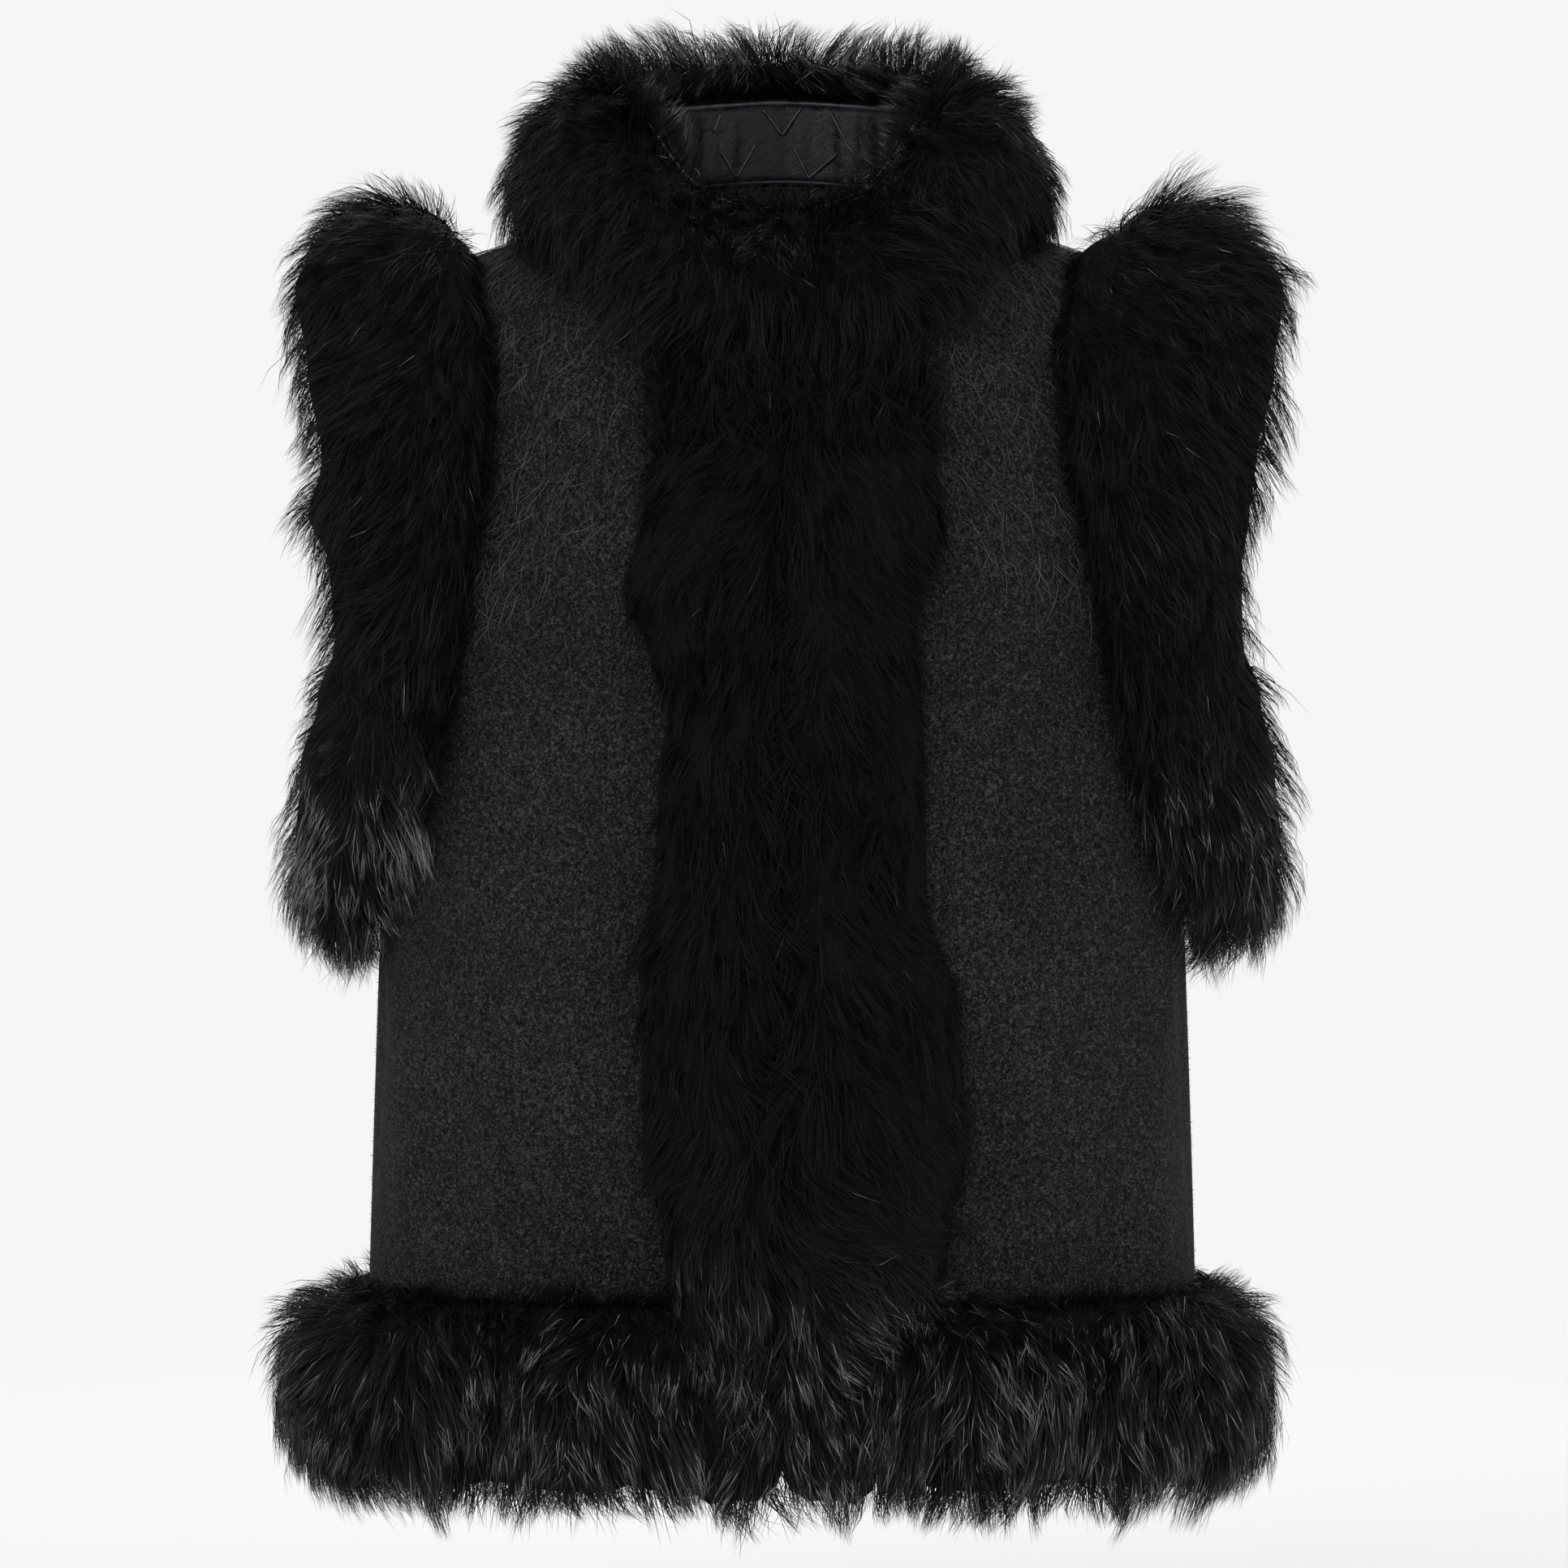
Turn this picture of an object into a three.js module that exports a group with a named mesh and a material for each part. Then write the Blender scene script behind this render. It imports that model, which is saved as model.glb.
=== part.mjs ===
// A sleeveless wool vest trimmed with long fur, in the rounded shape it takes when it is worn.
// Five sewn cloth and leather pieces (two fronts, two backs, an upstanding collar band) carry fur strips
// down both front edges, round each armhole, round the hem and outside the collar band.
// Millimetres. +X is the wearer's left, +Y the back, +Z up. The origin is midway between the shoulders.
import * as THREE from "three";

// Cloth and leather
const CLOTH_THICK = 2.5;
const LEATHER_THICK = 1.6;
const SEAM_GAP = 0.3;

// Body: an oval tube from the hem to the chest line, then rounded over to the shoulder seams
const HEM_Z = -620;
const CHEST_Z = -130;
const HEM_HALF_WIDTH = 239;
const CHEST_HALF_WIDTH = 222;
const FRONT_DEPTH = { hem: 122, chest: 116, swell: 4 };
const BACK_DEPTH = { hem: 118, chest: 114, swell: -4 };
const SQUARENESS = 2.3; // 2 is a true ellipse, more is boxier
const TAPER_POWER = 1.2;
const SHOULDER = { start: 94.4, slope: -0.7947, ease: 0.0012985, round: 55 }; // height of the seam line
const SHOULDER_ROUND = 2.6; // as SQUARENESS, from the chest line over to the shoulder seam
const SHOULDER_LEVEL = 200; // level at the shoulder seam; level 0 is the chest line
const HEM_LEVEL = HEM_Z - CHEST_Z;

// Neck, an oval hole; its angle is 0 at the centre front and 180 at the centre back
const NECK_HALF_WIDTH = 88;
const NECK_HALF_DEPTH = 80;
const NECK_CENTRE_Y = -20;
const NECK_SHOULDER_ANGLE = Math.acos(NECK_CENTRE_Y / NECK_HALF_DEPTH);

// Armhole, in degrees round the body and levels up it
const UNDERARM_LEVEL = -215;
const ARMHOLE_MIDDLE_LEVEL = -35;
const ARMHOLE_INSET = 38;
const ARMHOLE_SHOULDER_SHARE = 0.85;

// Front edge of the cloth, where the fur strip starts
const FRONT_EDGE_X = 52;

// Fur strips
const LIE_OFF = 1.2; // hair lies this far off the cloth under it
const TUFT = { skew: 0.7, round: 0.6 }; // a tuft's outline: below 1 it is fuller, and fullest near its start
const STRIP_DEPTH = 44;
const HEM_FUR_DEPTH = { right: 54, left: 46 };
const HIDE_BOTTOM_Z = -690;
const HAIR_BOTTOM_Z = -713;
const HEM_LIP_Z = -599;
// How far each front strip's hair reaches from the centre line, by height
const STRIP_REACH = {
  right: [
    { z: -600, reach: 64 },
    { z: -560, reach: 66 },
    { z: -515, reach: 77 },
    { z: -420, reach: 79 },
    { z: -350, reach: 70 },
    { z: -275, reach: 63 },
    { z: -240, reach: 74 },
    { z: -205, reach: 88 },
    { z: -160, reach: 77 },
    { z: -95, reach: 67 },
    { z: -40, reach: 66 },
  ],
  left: [
    { z: -600, reach: 88 },
    { z: -560, reach: 94 },
    { z: -515, reach: 104 },
    { z: -440, reach: 98 },
    { z: -375, reach: 80 },
    { z: -300, reach: 79 },
    { z: -220, reach: 75 },
    { z: -170, reach: 90 },
    { z: -120, reach: 84 },
    { z: -70, reach: 80 },
    { z: -40, reach: 82 },
  ],
};
// How far each armhole's hair reaches from the centre line, its lip over the cloth and how far it
// stands away from the hole, by the height of the seam under it
const ARMHOLE_REACH = {
  right: [
    { z: -345, reach: 284, lip: 42, depth: 70 },
    { z: -318, reach: 281, lip: 34, depth: 62 },
    { z: -282, reach: 269, lip: 24, depth: 54 },
    { z: -246, reach: 257, lip: 17, depth: 50 },
    { z: -200, reach: 259, lip: 14, depth: 52 },
    { z: -165, reach: 271, lip: 18, depth: 54 },
    { z: -130, reach: 263, lip: 24, depth: 52 },
    { z: -75, reach: 272, lip: 28, depth: 54 },
    { z: -30, reach: 281, lip: 22, depth: 54 },
    { z: -14, reach: 268, lip: 9, depth: 49 },
  ],
  left: [
    { z: -345, reach: 291, lip: 42, depth: 67 },
    { z: -318, reach: 287, lip: 34, depth: 62 },
    { z: -282, reach: 277, lip: 22, depth: 54 },
    { z: -246, reach: 264, lip: 15, depth: 50 },
    { z: -200, reach: 263, lip: 13, depth: 52 },
    { z: -165, reach: 267, lip: 20, depth: 54 },
    { z: -130, reach: 271, lip: 31, depth: 52 },
    { z: -75, reach: 282, lip: 38, depth: 54 },
    { z: -30, reach: 289, lip: 30, depth: 54 },
    { z: -14, reach: 270, lip: 5, depth: 48 },
  ],
};

// Collar band and its fur
const BAND_HEIGHT = 48;
const BAND_FRONT_HEIGHT = 16;
const BAND_STEP = { from: 26, to: 74 }; // between these angles the band rises from its front height
const BAND_LEAN = 0.02;
const BAND_INSET = 0.9; // the leather stands this far inside the neck seam
const BAND_FOOT = 0.5; // and this far over it
const BAND_CLEAR = 0.2;
const COLLAR_LIP = { sideways: 62, front: 74, frontCentre: 46, back: 53 }; // how far it lies on the cloth
const COLLAR_RISE = { front: 22, back: 92 }; // how steeply the hair stands up at the band's top
const COLLAR_LEAN = 8; // how far it leans out there
const COLLAR_ROLL = { side: 56, front: 72, away: 19 }; // how far it rolls off the shoulder
const COLLAR_BULGE = { right: 0.98, left: 0.9 };
const COLLAR_TUFT = { turn: 33, phase: 0.15, least: 0.9, deep: 0.14 };
const COLLAR_CLEAR = 2;
const COLLAR_LIP_THICK = 4;
const COLLAR_END_ANGLE = 0.25;

// Small helpers
const rad = THREE.MathUtils.degToRad;
const mix = THREE.MathUtils.lerp;
const power = (value, exponent) => Math.sign(value) * Math.abs(value) ** exponent;
const steps = (count) => Array.from({ length: count + 1 }, (_, i) => i / count);

// The value of one column of a table at a height, eased between its rows.
function fromTable(table, z, column) {
  if (z <= table[0].z) return table[0][column];
  const above = table.findIndex((row) => row.z >= z);
  if (above < 0) return table[table.length - 1][column];
  const [low, high] = [table[above - 1], table[above]];
  return mix(low[column], high[column], THREE.MathUtils.smoothstep(z, low.z, high.z));
}

// Tufts: rounded swellings that overlap down a strip like shingles, 0 at a parting and 1 at the fullest.
function tuft(along, length, phase) {
  const share = (((along / length + phase) % 1) + 1) % 1;
  return Math.sin(Math.PI * share ** TUFT.skew) ** TUFT.round;
}

// Half width and depths of the body at a height.
function bodyAt(z) {
  const share = THREE.MathUtils.clamp((z - HEM_Z) / (CHEST_Z - HEM_Z), 0, 1);
  const depth = (d) => mix(d.hem, d.chest, share) + d.swell * Math.sin(Math.PI * share);
  return {
    halfWidth: mix(HEM_HALF_WIDTH, CHEST_HALF_WIDTH, share ** TAPER_POWER),
    front: depth(FRONT_DEPTH),
    back: depth(BACK_DEPTH),
  };
}

// Height of the shoulder seam at a distance from the centre line, rounded over the centre line itself.
function shoulderZ(x) {
  const out = Math.hypot(x, SHOULDER.round);
  return SHOULDER.start + SHOULDER.slope * out + SHOULDER.ease * out * out;
}

// A point of the body on the wearer's left: girth is 0 at the centre front, 90 at the side, 180 at the
// centre back. Level is the height over the chest line below it, and turns over the shoulder above it.
function body(girth, level) {
  const z = CHEST_Z + Math.min(level, 0);
  const { halfWidth, front, back } = bodyAt(z);
  const over = level > 0 ? (Math.PI / 2) * (level / SHOULDER_LEVEL) : 0;
  const x = halfWidth * power(Math.sin(rad(girth)), 2 / SQUARENESS);
  const depth = girth < 90 ? front : back;
  const y = -depth * power(Math.cos(rad(girth)), 2 / SQUARENESS) * power(Math.cos(over), 2 / SHOULDER_ROUND);
  return new THREE.Vector3(x, y, z + (shoulderZ(x) - CHEST_Z) * power(Math.sin(over), 2 / SHOULDER_ROUND));
}

// The outward normal of the body, across girth and level.
function bodyNormal(girth, level) {
  const step = 0.5;
  const round = body(girth + step, level).sub(body(girth - step, level));
  const up = body(girth, level + step).sub(body(girth, level - step));
  return round.cross(up).normalize();
}

const offBody = (girth, level, out) => body(girth, level).addScaledVector(bodyNormal(girth, level), out);

// Girth of the place at a distance from the centre line, on the front or the back.
function girthAt(x, level, back = false) {
  const { halfWidth } = bodyAt(CHEST_Z + Math.min(level, 0));
  const girth = THREE.MathUtils.radToDeg(Math.asin(Math.min(1, x / halfWidth) ** (SQUARENESS / 2)));
  return back ? 180 - girth : girth;
}

// The neck seam: girth and level at an angle round the neck, found where the oval meets the body.
function neckSeam(angle, back = angle > NECK_SHOULDER_ANGLE) {
  const x = NECK_HALF_WIDTH * Math.sin(angle);
  const y = NECK_CENTRE_Y - NECK_HALF_DEPTH * Math.cos(angle);
  const chest = bodyAt(CHEST_Z);
  const narrowed = (1 - (x / chest.halfWidth) ** SQUARENESS) ** (1 / SQUARENESS);
  const depth = (y < 0 ? chest.front : chest.back) * narrowed;
  const over = Math.acos(Math.min(1, Math.abs(y) / depth) ** (SHOULDER_ROUND / 2));
  const level = SHOULDER_LEVEL * (over / (Math.PI / 2));
  return { x, level, girth: girthAt(x, level, back), back };
}

// The armhole seam from the underarm, at 0, to the shoulder seam, at 1.
function armholeSeam(share, back = false) {
  const half = ARMHOLE_MIDDLE_LEVEL - UNDERARM_LEVEL;
  const top = Math.PI / 2 + (SHOULDER_LEVEL - ARMHOLE_MIDDLE_LEVEL) / half;
  const angle = share * top;
  let level = UNDERARM_LEVEL + half * (1 - Math.cos(angle));
  let inset = ARMHOLE_INSET * Math.sin(angle);
  if (angle > Math.PI / 2) {
    level = ARMHOLE_MIDDLE_LEVEL + half * (angle - Math.PI / 2);
    const eased = THREE.MathUtils.smoothstep(angle, Math.PI / 2, top);
    inset = ARMHOLE_INSET * mix(1, ARMHOLE_SHOULDER_SHARE, eased);
  }
  return { girth: back ? 90 + inset : 90 - inset, level };
}

// A closed solid from rings of points, each ring the outline of one cross-section.
function loft(rings) {
  const size = rings[0].length;
  const positions = rings.flat().flatMap((p) => [p.x, p.y, p.z]);
  const index = [];
  for (let i = 0; i + 1 < rings.length; i++)
    for (let k = 0; k < size; k++) {
      const [a, b] = [i * size + k, i * size + ((k + 1) % size)];
      index.push(a, b, b + size, a, b + size, a + size);
    }
  const last = (rings.length - 1) * size;
  for (const [a, b, c] of capTriangles(rings[0])) index.push(a, c, b);
  for (const [a, b, c] of capTriangles(rings[rings.length - 1])) index.push(last + a, last + b, last + c);
  const geometry = new THREE.BufferGeometry();
  geometry.setAttribute("position", new THREE.Float32BufferAttribute(positions, 3));
  geometry.setIndex(index);
  return facingOut(geometry);
}

// Triangles that fill a ring, worked out in the plane that fits it.
function capTriangles(ring) {
  const centre = ring.reduce((sum, p) => sum.add(p), new THREE.Vector3()).divideScalar(ring.length);
  const normal = new THREE.Vector3();
  ring.forEach((p, k) => {
    const next = ring[(k + 1) % ring.length].clone().sub(centre);
    normal.add(p.clone().sub(centre).cross(next));
  });
  normal.normalize();
  const across = ring[1].clone().sub(ring[0]).normalize();
  const up = normal.clone().cross(across).normalize();
  const flat = ring.map((p) => {
    const from = p.clone().sub(centre);
    return new THREE.Vector2(from.dot(across), from.dot(up));
  });
  return THREE.ShapeUtils.triangulateShape(flat, []);
}

// Turns every face round if the closed surface encloses a negative volume.
function facingOut(geometry) {
  const position = geometry.getAttribute("position");
  const index = geometry.index.array;
  const [a, b, c] = [new THREE.Vector3(), new THREE.Vector3(), new THREE.Vector3()];
  let volume = 0;
  for (let i = 0; i < index.length; i += 3) {
    a.fromBufferAttribute(position, index[i]);
    b.fromBufferAttribute(position, index[i + 1]);
    c.fromBufferAttribute(position, index[i + 2]);
    volume += a.dot(b.cross(c));
  }
  if (volume < 0)
    for (let i = 0; i < index.length; i += 3) [index[i + 1], index[i + 2]] = [index[i + 2], index[i + 1]];
  geometry.computeVertexNormals();
  return geometry;
}

// A closed wall between two grids of points, one row of points for each height.
function wall(outer, inner) {
  const [rows, columns] = [outer.length, outer[0].length];
  const positions = [...outer.flat(), ...inner.flat()].flatMap((p) => [p.x, p.y, p.z]);
  const at = (layer, i, k) => (layer * rows + i) * columns + k;
  const index = [];
  const quad = (a, b, c, d) => index.push(a, b, c, a, c, d);
  for (let i = 0; i + 1 < rows; i++)
    for (let k = 0; k + 1 < columns; k++) {
      quad(at(0, i, k), at(0, i, k + 1), at(0, i + 1, k + 1), at(0, i + 1, k));
      quad(at(1, i, k), at(1, i + 1, k), at(1, i + 1, k + 1), at(1, i, k + 1));
    }
  for (let k = 0; k + 1 < columns; k++) {
    quad(at(1, 0, k), at(1, 0, k + 1), at(0, 0, k + 1), at(0, 0, k));
    quad(at(0, rows - 1, k), at(0, rows - 1, k + 1), at(1, rows - 1, k + 1), at(1, rows - 1, k));
  }
  for (let i = 0; i + 1 < rows; i++) {
    quad(at(0, i, 0), at(0, i + 1, 0), at(1, i + 1, 0), at(1, i, 0));
    quad(at(1, i, columns - 1), at(1, i + 1, columns - 1), at(0, i + 1, columns - 1), at(0, i, columns - 1));
  }
  const geometry = new THREE.BufferGeometry();
  geometry.setAttribute("position", new THREE.Float32BufferAttribute(positions, 3));
  geometry.setIndex(index);
  return facingOut(geometry);
}

const mirror = (p) => (Array.isArray(p) ? mirrored(p) : new THREE.Vector3(-p.x, p.y, p.z));
const mirrored = (points) => points.map(mirror);
const onSide = (side, points) => (side === "left" ? points : mirrored(points));

// Cloth panels. A row runs from the centre edge to the side seam and then, higher up, from the neck seam
// to the armhole seam; the top row is the shoulder seam.
const SIDE_ROWS = 7;
const ARMHOLE_ROWS = 15;
const NECK_ROWS = { front: 6, back: 9 };
const PANEL_COLUMNS = 10;

function panel(isBack) {
  const edgeX = isBack ? 0 : FRONT_EDGE_X;
  const edgeAngle = isBack ? Math.PI : Math.asin(FRONT_EDGE_X / NECK_HALF_WIDTH);
  const neckStart = neckSeam(edgeAngle).level;
  const edgeRows = ARMHOLE_ROWS - (isBack ? NECK_ROWS.back : NECK_ROWS.front);
  const onEdge = (level) => ({ girth: girthAt(edgeX, level, isBack), level });
  const rows = [];
  for (const share of steps(SIDE_ROWS)) {
    const level = mix(HEM_LEVEL, UNDERARM_LEVEL, share);
    rows.push([onEdge(level), { girth: 90, level }]);
  }
  for (let i = 1; i <= ARMHOLE_ROWS; i++) {
    const seam = armholeSeam(i / ARMHOLE_ROWS, isBack);
    const turned = mix(edgeAngle, NECK_SHOULDER_ANGLE, (i - edgeRows) / (ARMHOLE_ROWS - edgeRows));
    const edge = onEdge(mix(UNDERARM_LEVEL, neckStart, i / edgeRows));
    rows.push([i <= edgeRows ? edge : neckSeam(turned, isBack), seam]);
  }
  const grid = (out) =>
    rows.map(([start, end]) =>
      steps(PANEL_COLUMNS).map((share) => {
        const point = offBody(mix(start.girth, end.girth, share), mix(start.level, end.level, share), out);
        point.y += (isBack ? 1 : -1) * (SEAM_GAP / 2);
        if (isBack) point.x += SEAM_GAP / 2;
        return point;
      }),
    );
  return [grid(0), grid(-CLOTH_THICK)];
}

// Collar band: a leather strip that stands up from the neck seam, lower at the open front.
function bandHeight(angle) {
  const risen = THREE.MathUtils.smoothstep(THREE.MathUtils.radToDeg(angle), BAND_STEP.from, BAND_STEP.to);
  return mix(BAND_FRONT_HEIGHT, BAND_HEIGHT, risen);
}

// A point of the band's outer face, or of a face further out, at a share of its height.
function bandPoint(angle, share, out) {
  const seam = neckSeam(angle);
  const foot = body(seam.girth, seam.level);
  const away = new THREE.Vector3(NECK_HALF_DEPTH * Math.sin(angle), -NECK_HALF_WIDTH * Math.cos(angle), 0);
  away.normalize();
  const height = bandHeight(angle) * share;
  return foot.addScaledVector(away, out + BAND_LEAN * height).add(new THREE.Vector3(0, 0, height + BAND_FOOT));
}

// Angles from the right front end round the back to the left front end, with the side they lie on.
const ROUND_THE_NECK = steps(44).map((share) => {
  const angle = mix(-180 + COLLAR_END_ANGLE, 180 - COLLAR_END_ANGLE, share);
  return { side: angle < 0 ? "right" : "left", angle: rad(180 - Math.abs(angle)) };
});

function collarBand() {
  const grid = (out) =>
    steps(3).map((share) =>
      ROUND_THE_NECK.map(({ side, angle }) => onSide(side, [bandPoint(angle, share, out)])[0]),
    );
  return wall(grid(-BAND_INSET), grid(-BAND_INSET - LEATHER_THICK));
}

// Collar fur: hair rises from the band's outside, rolls over and lies on the shoulders.
function collarSection(side, angle) {
  const seam = neckSeam(angle);
  const turn = seam.back
    ? (Math.PI - angle) / (Math.PI - NECK_SHOULDER_ANGLE)
    : angle / NECK_SHOULDER_ANGLE;
  const [sideways, down] = [Math.sin((turn * Math.PI) / 2), Math.cos((turn * Math.PI) / 2)];
  const frontness = seam.back ? 0 : 1 - turn;
  const drop = seam.back ? COLLAR_LIP.back : mix(COLLAR_LIP.front, COLLAR_LIP.frontCentre, frontness ** 2);
  const under = (share) => {
    const x = seam.x + COLLAR_LIP.sideways * share * sideways;
    const level = seam.level - drop * share * down;
    return { girth: girthAt(x, level, seam.back), level };
  };
  const off = (share, out) => offBody(under(share).girth, under(share).level, out);
  const end = under(1);
  const away = new THREE.Vector3(NECK_HALF_DEPTH * Math.sin(angle), -NECK_HALF_WIDTH * Math.cos(angle), 0);
  away.normalize();
  const tufts = tuft(THREE.MathUtils.radToDeg(angle), COLLAR_TUFT.turn, COLLAR_TUFT.phase);
  const swell = COLLAR_TUFT.least + COLLAR_TUFT.deep * tufts;
  const crest = bandPoint(angle, 1, BAND_CLEAR);
  const tail = off(1, COLLAR_CLEAR + COLLAR_LIP_THICK);
  const rise = mix(COLLAR_RISE.front, COLLAR_RISE.back, (1 - Math.cos(angle)) / 2) * swell;
  const roll = mix(COLLAR_ROLL.side, COLLAR_ROLL.front, frontness) * swell * COLLAR_BULGE[side];
  const curve = new THREE.CubicBezierCurve3(
    crest.clone().add(new THREE.Vector3(0, 0, 1)),
    crest.clone().addScaledVector(away, COLLAR_LEAN).add(new THREE.Vector3(0, 0, rise)),
    tail
      .clone()
      .addScaledVector(bodyNormal(end.girth, end.level), roll)
      .addScaledVector(away, COLLAR_ROLL.away * COLLAR_BULGE[side] ** 3),
    tail,
  );
  return [
    bandPoint(angle, 0.08, 0),
    bandPoint(angle, 0.5, 0),
    ...curve.getPoints(8),
    off(1, COLLAR_CLEAR),
    off(0.66, COLLAR_CLEAR),
    off(0.33, COLLAR_CLEAR),
    off(0.04, COLLAR_CLEAR),
  ];
}

// Front strips: the hide continues the cloth to the centre line, and the hair bulges forward and lies
// on the cloth beside it. The hair stops under the collar and the hide goes on to the neck seam.
const STRIP_TOP_LEVEL = 26.5;
const STRIP_TOP_EASE = 14; // the hair thins out over this height
const STRIP_CROWN = { wide: 84, square: 2.6, round: 0.6 }; // wide is for stretches with no lip
const STRIP_VALLEY = { halfWidth: 30, deep: 0.14 }; // the strips part a little at the centre line
const STRIP_TUFT = { left: 150, right: 135, phase: 0.3, deep: 6, least: -3 };
const STRIP_FOOT_TUFT = { length: 96, phase: 0.4, deep: 3 };
const STRIP_LIP = { thick: 5, least: 0.8, inset: 1 };
const STRIP_LEVELS = [
  ...steps(25).map((share) => mix(HEM_LIP_Z - CHEST_Z + 4, STRIP_TOP_LEVEL - STRIP_TOP_EASE, share)),
  STRIP_TOP_LEVEL - 6,
  STRIP_TOP_LEVEL - 1,
];
const STRIP_FOOT = [
  { z: HAIR_BOTTOM_Z + 3, keep: 0.45 },
  { z: HAIR_BOTTOM_Z + 9, keep: 0.8 },
  { z: HAIR_BOTTOM_Z + 20, keep: 0.95 },
  { z: HIDE_BOTTOM_Z + 4, keep: 1 },
  { z: -660, keep: 1 },
  { z: -635, keep: 1 },
  { z: -612, keep: 1 },
  { z: -597.5, keep: 1 },
];
const HIDE_RISE = 0.3; // the bare hide under the collar

// Height of the hair at a distance from the centre line.
function stripDepthAt(x, depth, wide) {
  const share = Math.min(x / wide, 1);
  const valley = 1 - STRIP_VALLEY.deep * (1 - Math.min(x / STRIP_VALLEY.halfWidth, 1)) ** 2;
  return depth * valley * (1 - share ** STRIP_CROWN.square) ** STRIP_CROWN.round;
}

// One ring of a strip. A lip lies on the cloth where the hair reaches past the hide; keep draws the ring
// together at the strip's foot.
function stripSection(level, reach, depth, lift = 0, keep = 1) {
  const inner = FRONT_EDGE_X - SEAM_GAP;
  const hasLip = reach > inner + STRIP_LIP.inset;
  const lip = hasLip ? reach : inner;
  const wide = hasLip ? reach : STRIP_CROWN.wide;
  const least = hasLip ? LIE_OFF + STRIP_LIP.least : HIDE_RISE;
  const hairAt = (x) => Math.max(stripDepthAt(x, depth, wide), least);
  const side = hasLip ? [LIE_OFF, LIE_OFF, LIE_OFF] : [0.25, 0.5, 0.75].map((s) => s * hairAt(inner));
  const sideX = hasLip ? [inner, mix(inner, lip, 0.5), lip - STRIP_LIP.inset] : [inner, inner, inner];
  const outline = [
    [SEAM_GAP / 2, -CLOTH_THICK],
    [inner * 0.33, -CLOTH_THICK],
    [inner * 0.66, -CLOTH_THICK],
    [inner, -CLOTH_THICK],
    ...side.map((out, k) => [sideX[k], out]),
    [lip, hasLip ? STRIP_LIP.thick : hairAt(lip)],
    ...[0.94, 0.84, 0.7, 0.52, 0.33, 0.15].map((s) => [lip * s, hairAt(lip * s)]),
    [SEAM_GAP / 2, hairAt(0)],
  ];
  const middle = { x: inner * 0.5, out: depth * 0.45 };
  return outline.map(([x, out]) => {
    const shrunkX = mix(middle.x, x, keep);
    const shrunkOut = mix(middle.out, out, keep);
    const at = typeof level === "function" ? level(shrunkX) : level;
    const point = offBody(girthAt(shrunkX, at), at, shrunkOut);
    point.x = Math.max(point.x, SEAM_GAP / 2);
    point.z += lift;
    return point;
  });
}

function frontStrip(side) {
  const rings = [];
  for (const { z, keep } of STRIP_FOOT) {
    const depth = STRIP_DEPTH + STRIP_FOOT_TUFT.deep * tuft(z, STRIP_FOOT_TUFT.length, STRIP_FOOT_TUFT.phase);
    rings.push(stripSection(HEM_LEVEL, 0, depth, z - HEM_Z, keep));
  }
  for (const level of STRIP_LEVELS) {
    const z = body(0, level).z;
    const edge = THREE.MathUtils.smoothstep(-level, -STRIP_TOP_LEVEL - 2, STRIP_TOP_EASE - STRIP_TOP_LEVEL);
    const swell = STRIP_TUFT.least + STRIP_TUFT.deep * tuft(-z, STRIP_TUFT[side], STRIP_TUFT.phase);
    const depth = (STRIP_DEPTH + swell) * mix(0.45, 1, Math.sqrt(edge));
    rings.push(stripSection(level, fromTable(STRIP_REACH[side], z, "reach"), depth));
  }
  const neckLevel = (x) => {
    const angle = Math.asin(Math.min(1, x / NECK_HALF_WIDTH));
    return neckSeam(angle).level;
  };
  for (const share of [0.02, 0.5, 0.97]) {
    const level = (x) => mix(STRIP_TOP_LEVEL, neckLevel(x), share);
    rings.push(stripSection(level, 0, 0));
  }
  return loft(onSide(side, rings));
}

// Hem fur: one outline, height against distance out, turned round the body. The hair's own points are
// given from its foot up to its lip, each by its height and its share of the full depth.
const HEM_HAIR = [
  { over: "foot", rise: 4, share: 0.22 },
  { over: "foot", rise: 0, share: 0.45 },
  { over: "foot", rise: 7, share: 0.68 },
  { over: "foot", rise: 24, share: 0.88 },
  { over: "foot", rise: 48, share: 1 },
  { over: "foot", rise: 72, share: 0.97 },
  { over: "foot", rise: 95, share: 0.8 },
  { over: "lip", rise: -7, share: 0.52 },
  { over: "lip", rise: 0, share: 0.22 },
];
const HEM_TUFT = { turn: 21, phase: 0.2, deep: 0.08, down: 6, foot: 5 };
const HIDE_TURN = { drop: 12, out: 3 }; // the hide's edge turns outwards here
const HEM_LIP_FOLD = 2;
const HEM_SEAM_TURN = 0.06; // degrees round the body, half of a seam's gap

function hemSection(side, girth) {
  const along = body(girth, HEM_LEVEL);
  const swell = tuft(girth, HEM_TUFT.turn, HEM_TUFT.phase);
  const deep = HEM_FUR_DEPTH[side] * (1 - HEM_TUFT.deep + HEM_TUFT.deep * swell);
  const start = { foot: HAIR_BOTTOM_Z + HEM_TUFT.foot - HEM_TUFT.down * swell, lip: HEM_LIP_Z };
  const outline = [
    [HEM_Z - SEAM_GAP, -CLOTH_THICK],
    [mix(HEM_Z, HIDE_BOTTOM_Z, 0.5), -CLOTH_THICK],
    [HIDE_BOTTOM_Z, -CLOTH_THICK],
    [HIDE_BOTTOM_Z - HIDE_TURN.drop, HIDE_TURN.out],
    ...HEM_HAIR.map(({ over, rise, share }) => [start[over] + rise, deep * share]),
    [HEM_LIP_Z - HEM_LIP_FOLD, LIE_OFF],
    [HEM_Z - SEAM_GAP, LIE_OFF],
  ];
  const normal = bodyNormal(girth, HEM_LEVEL).setZ(0).normalize();
  return outline.map(([z, out]) => along.clone().addScaledVector(normal, out).setZ(z));
}

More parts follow.
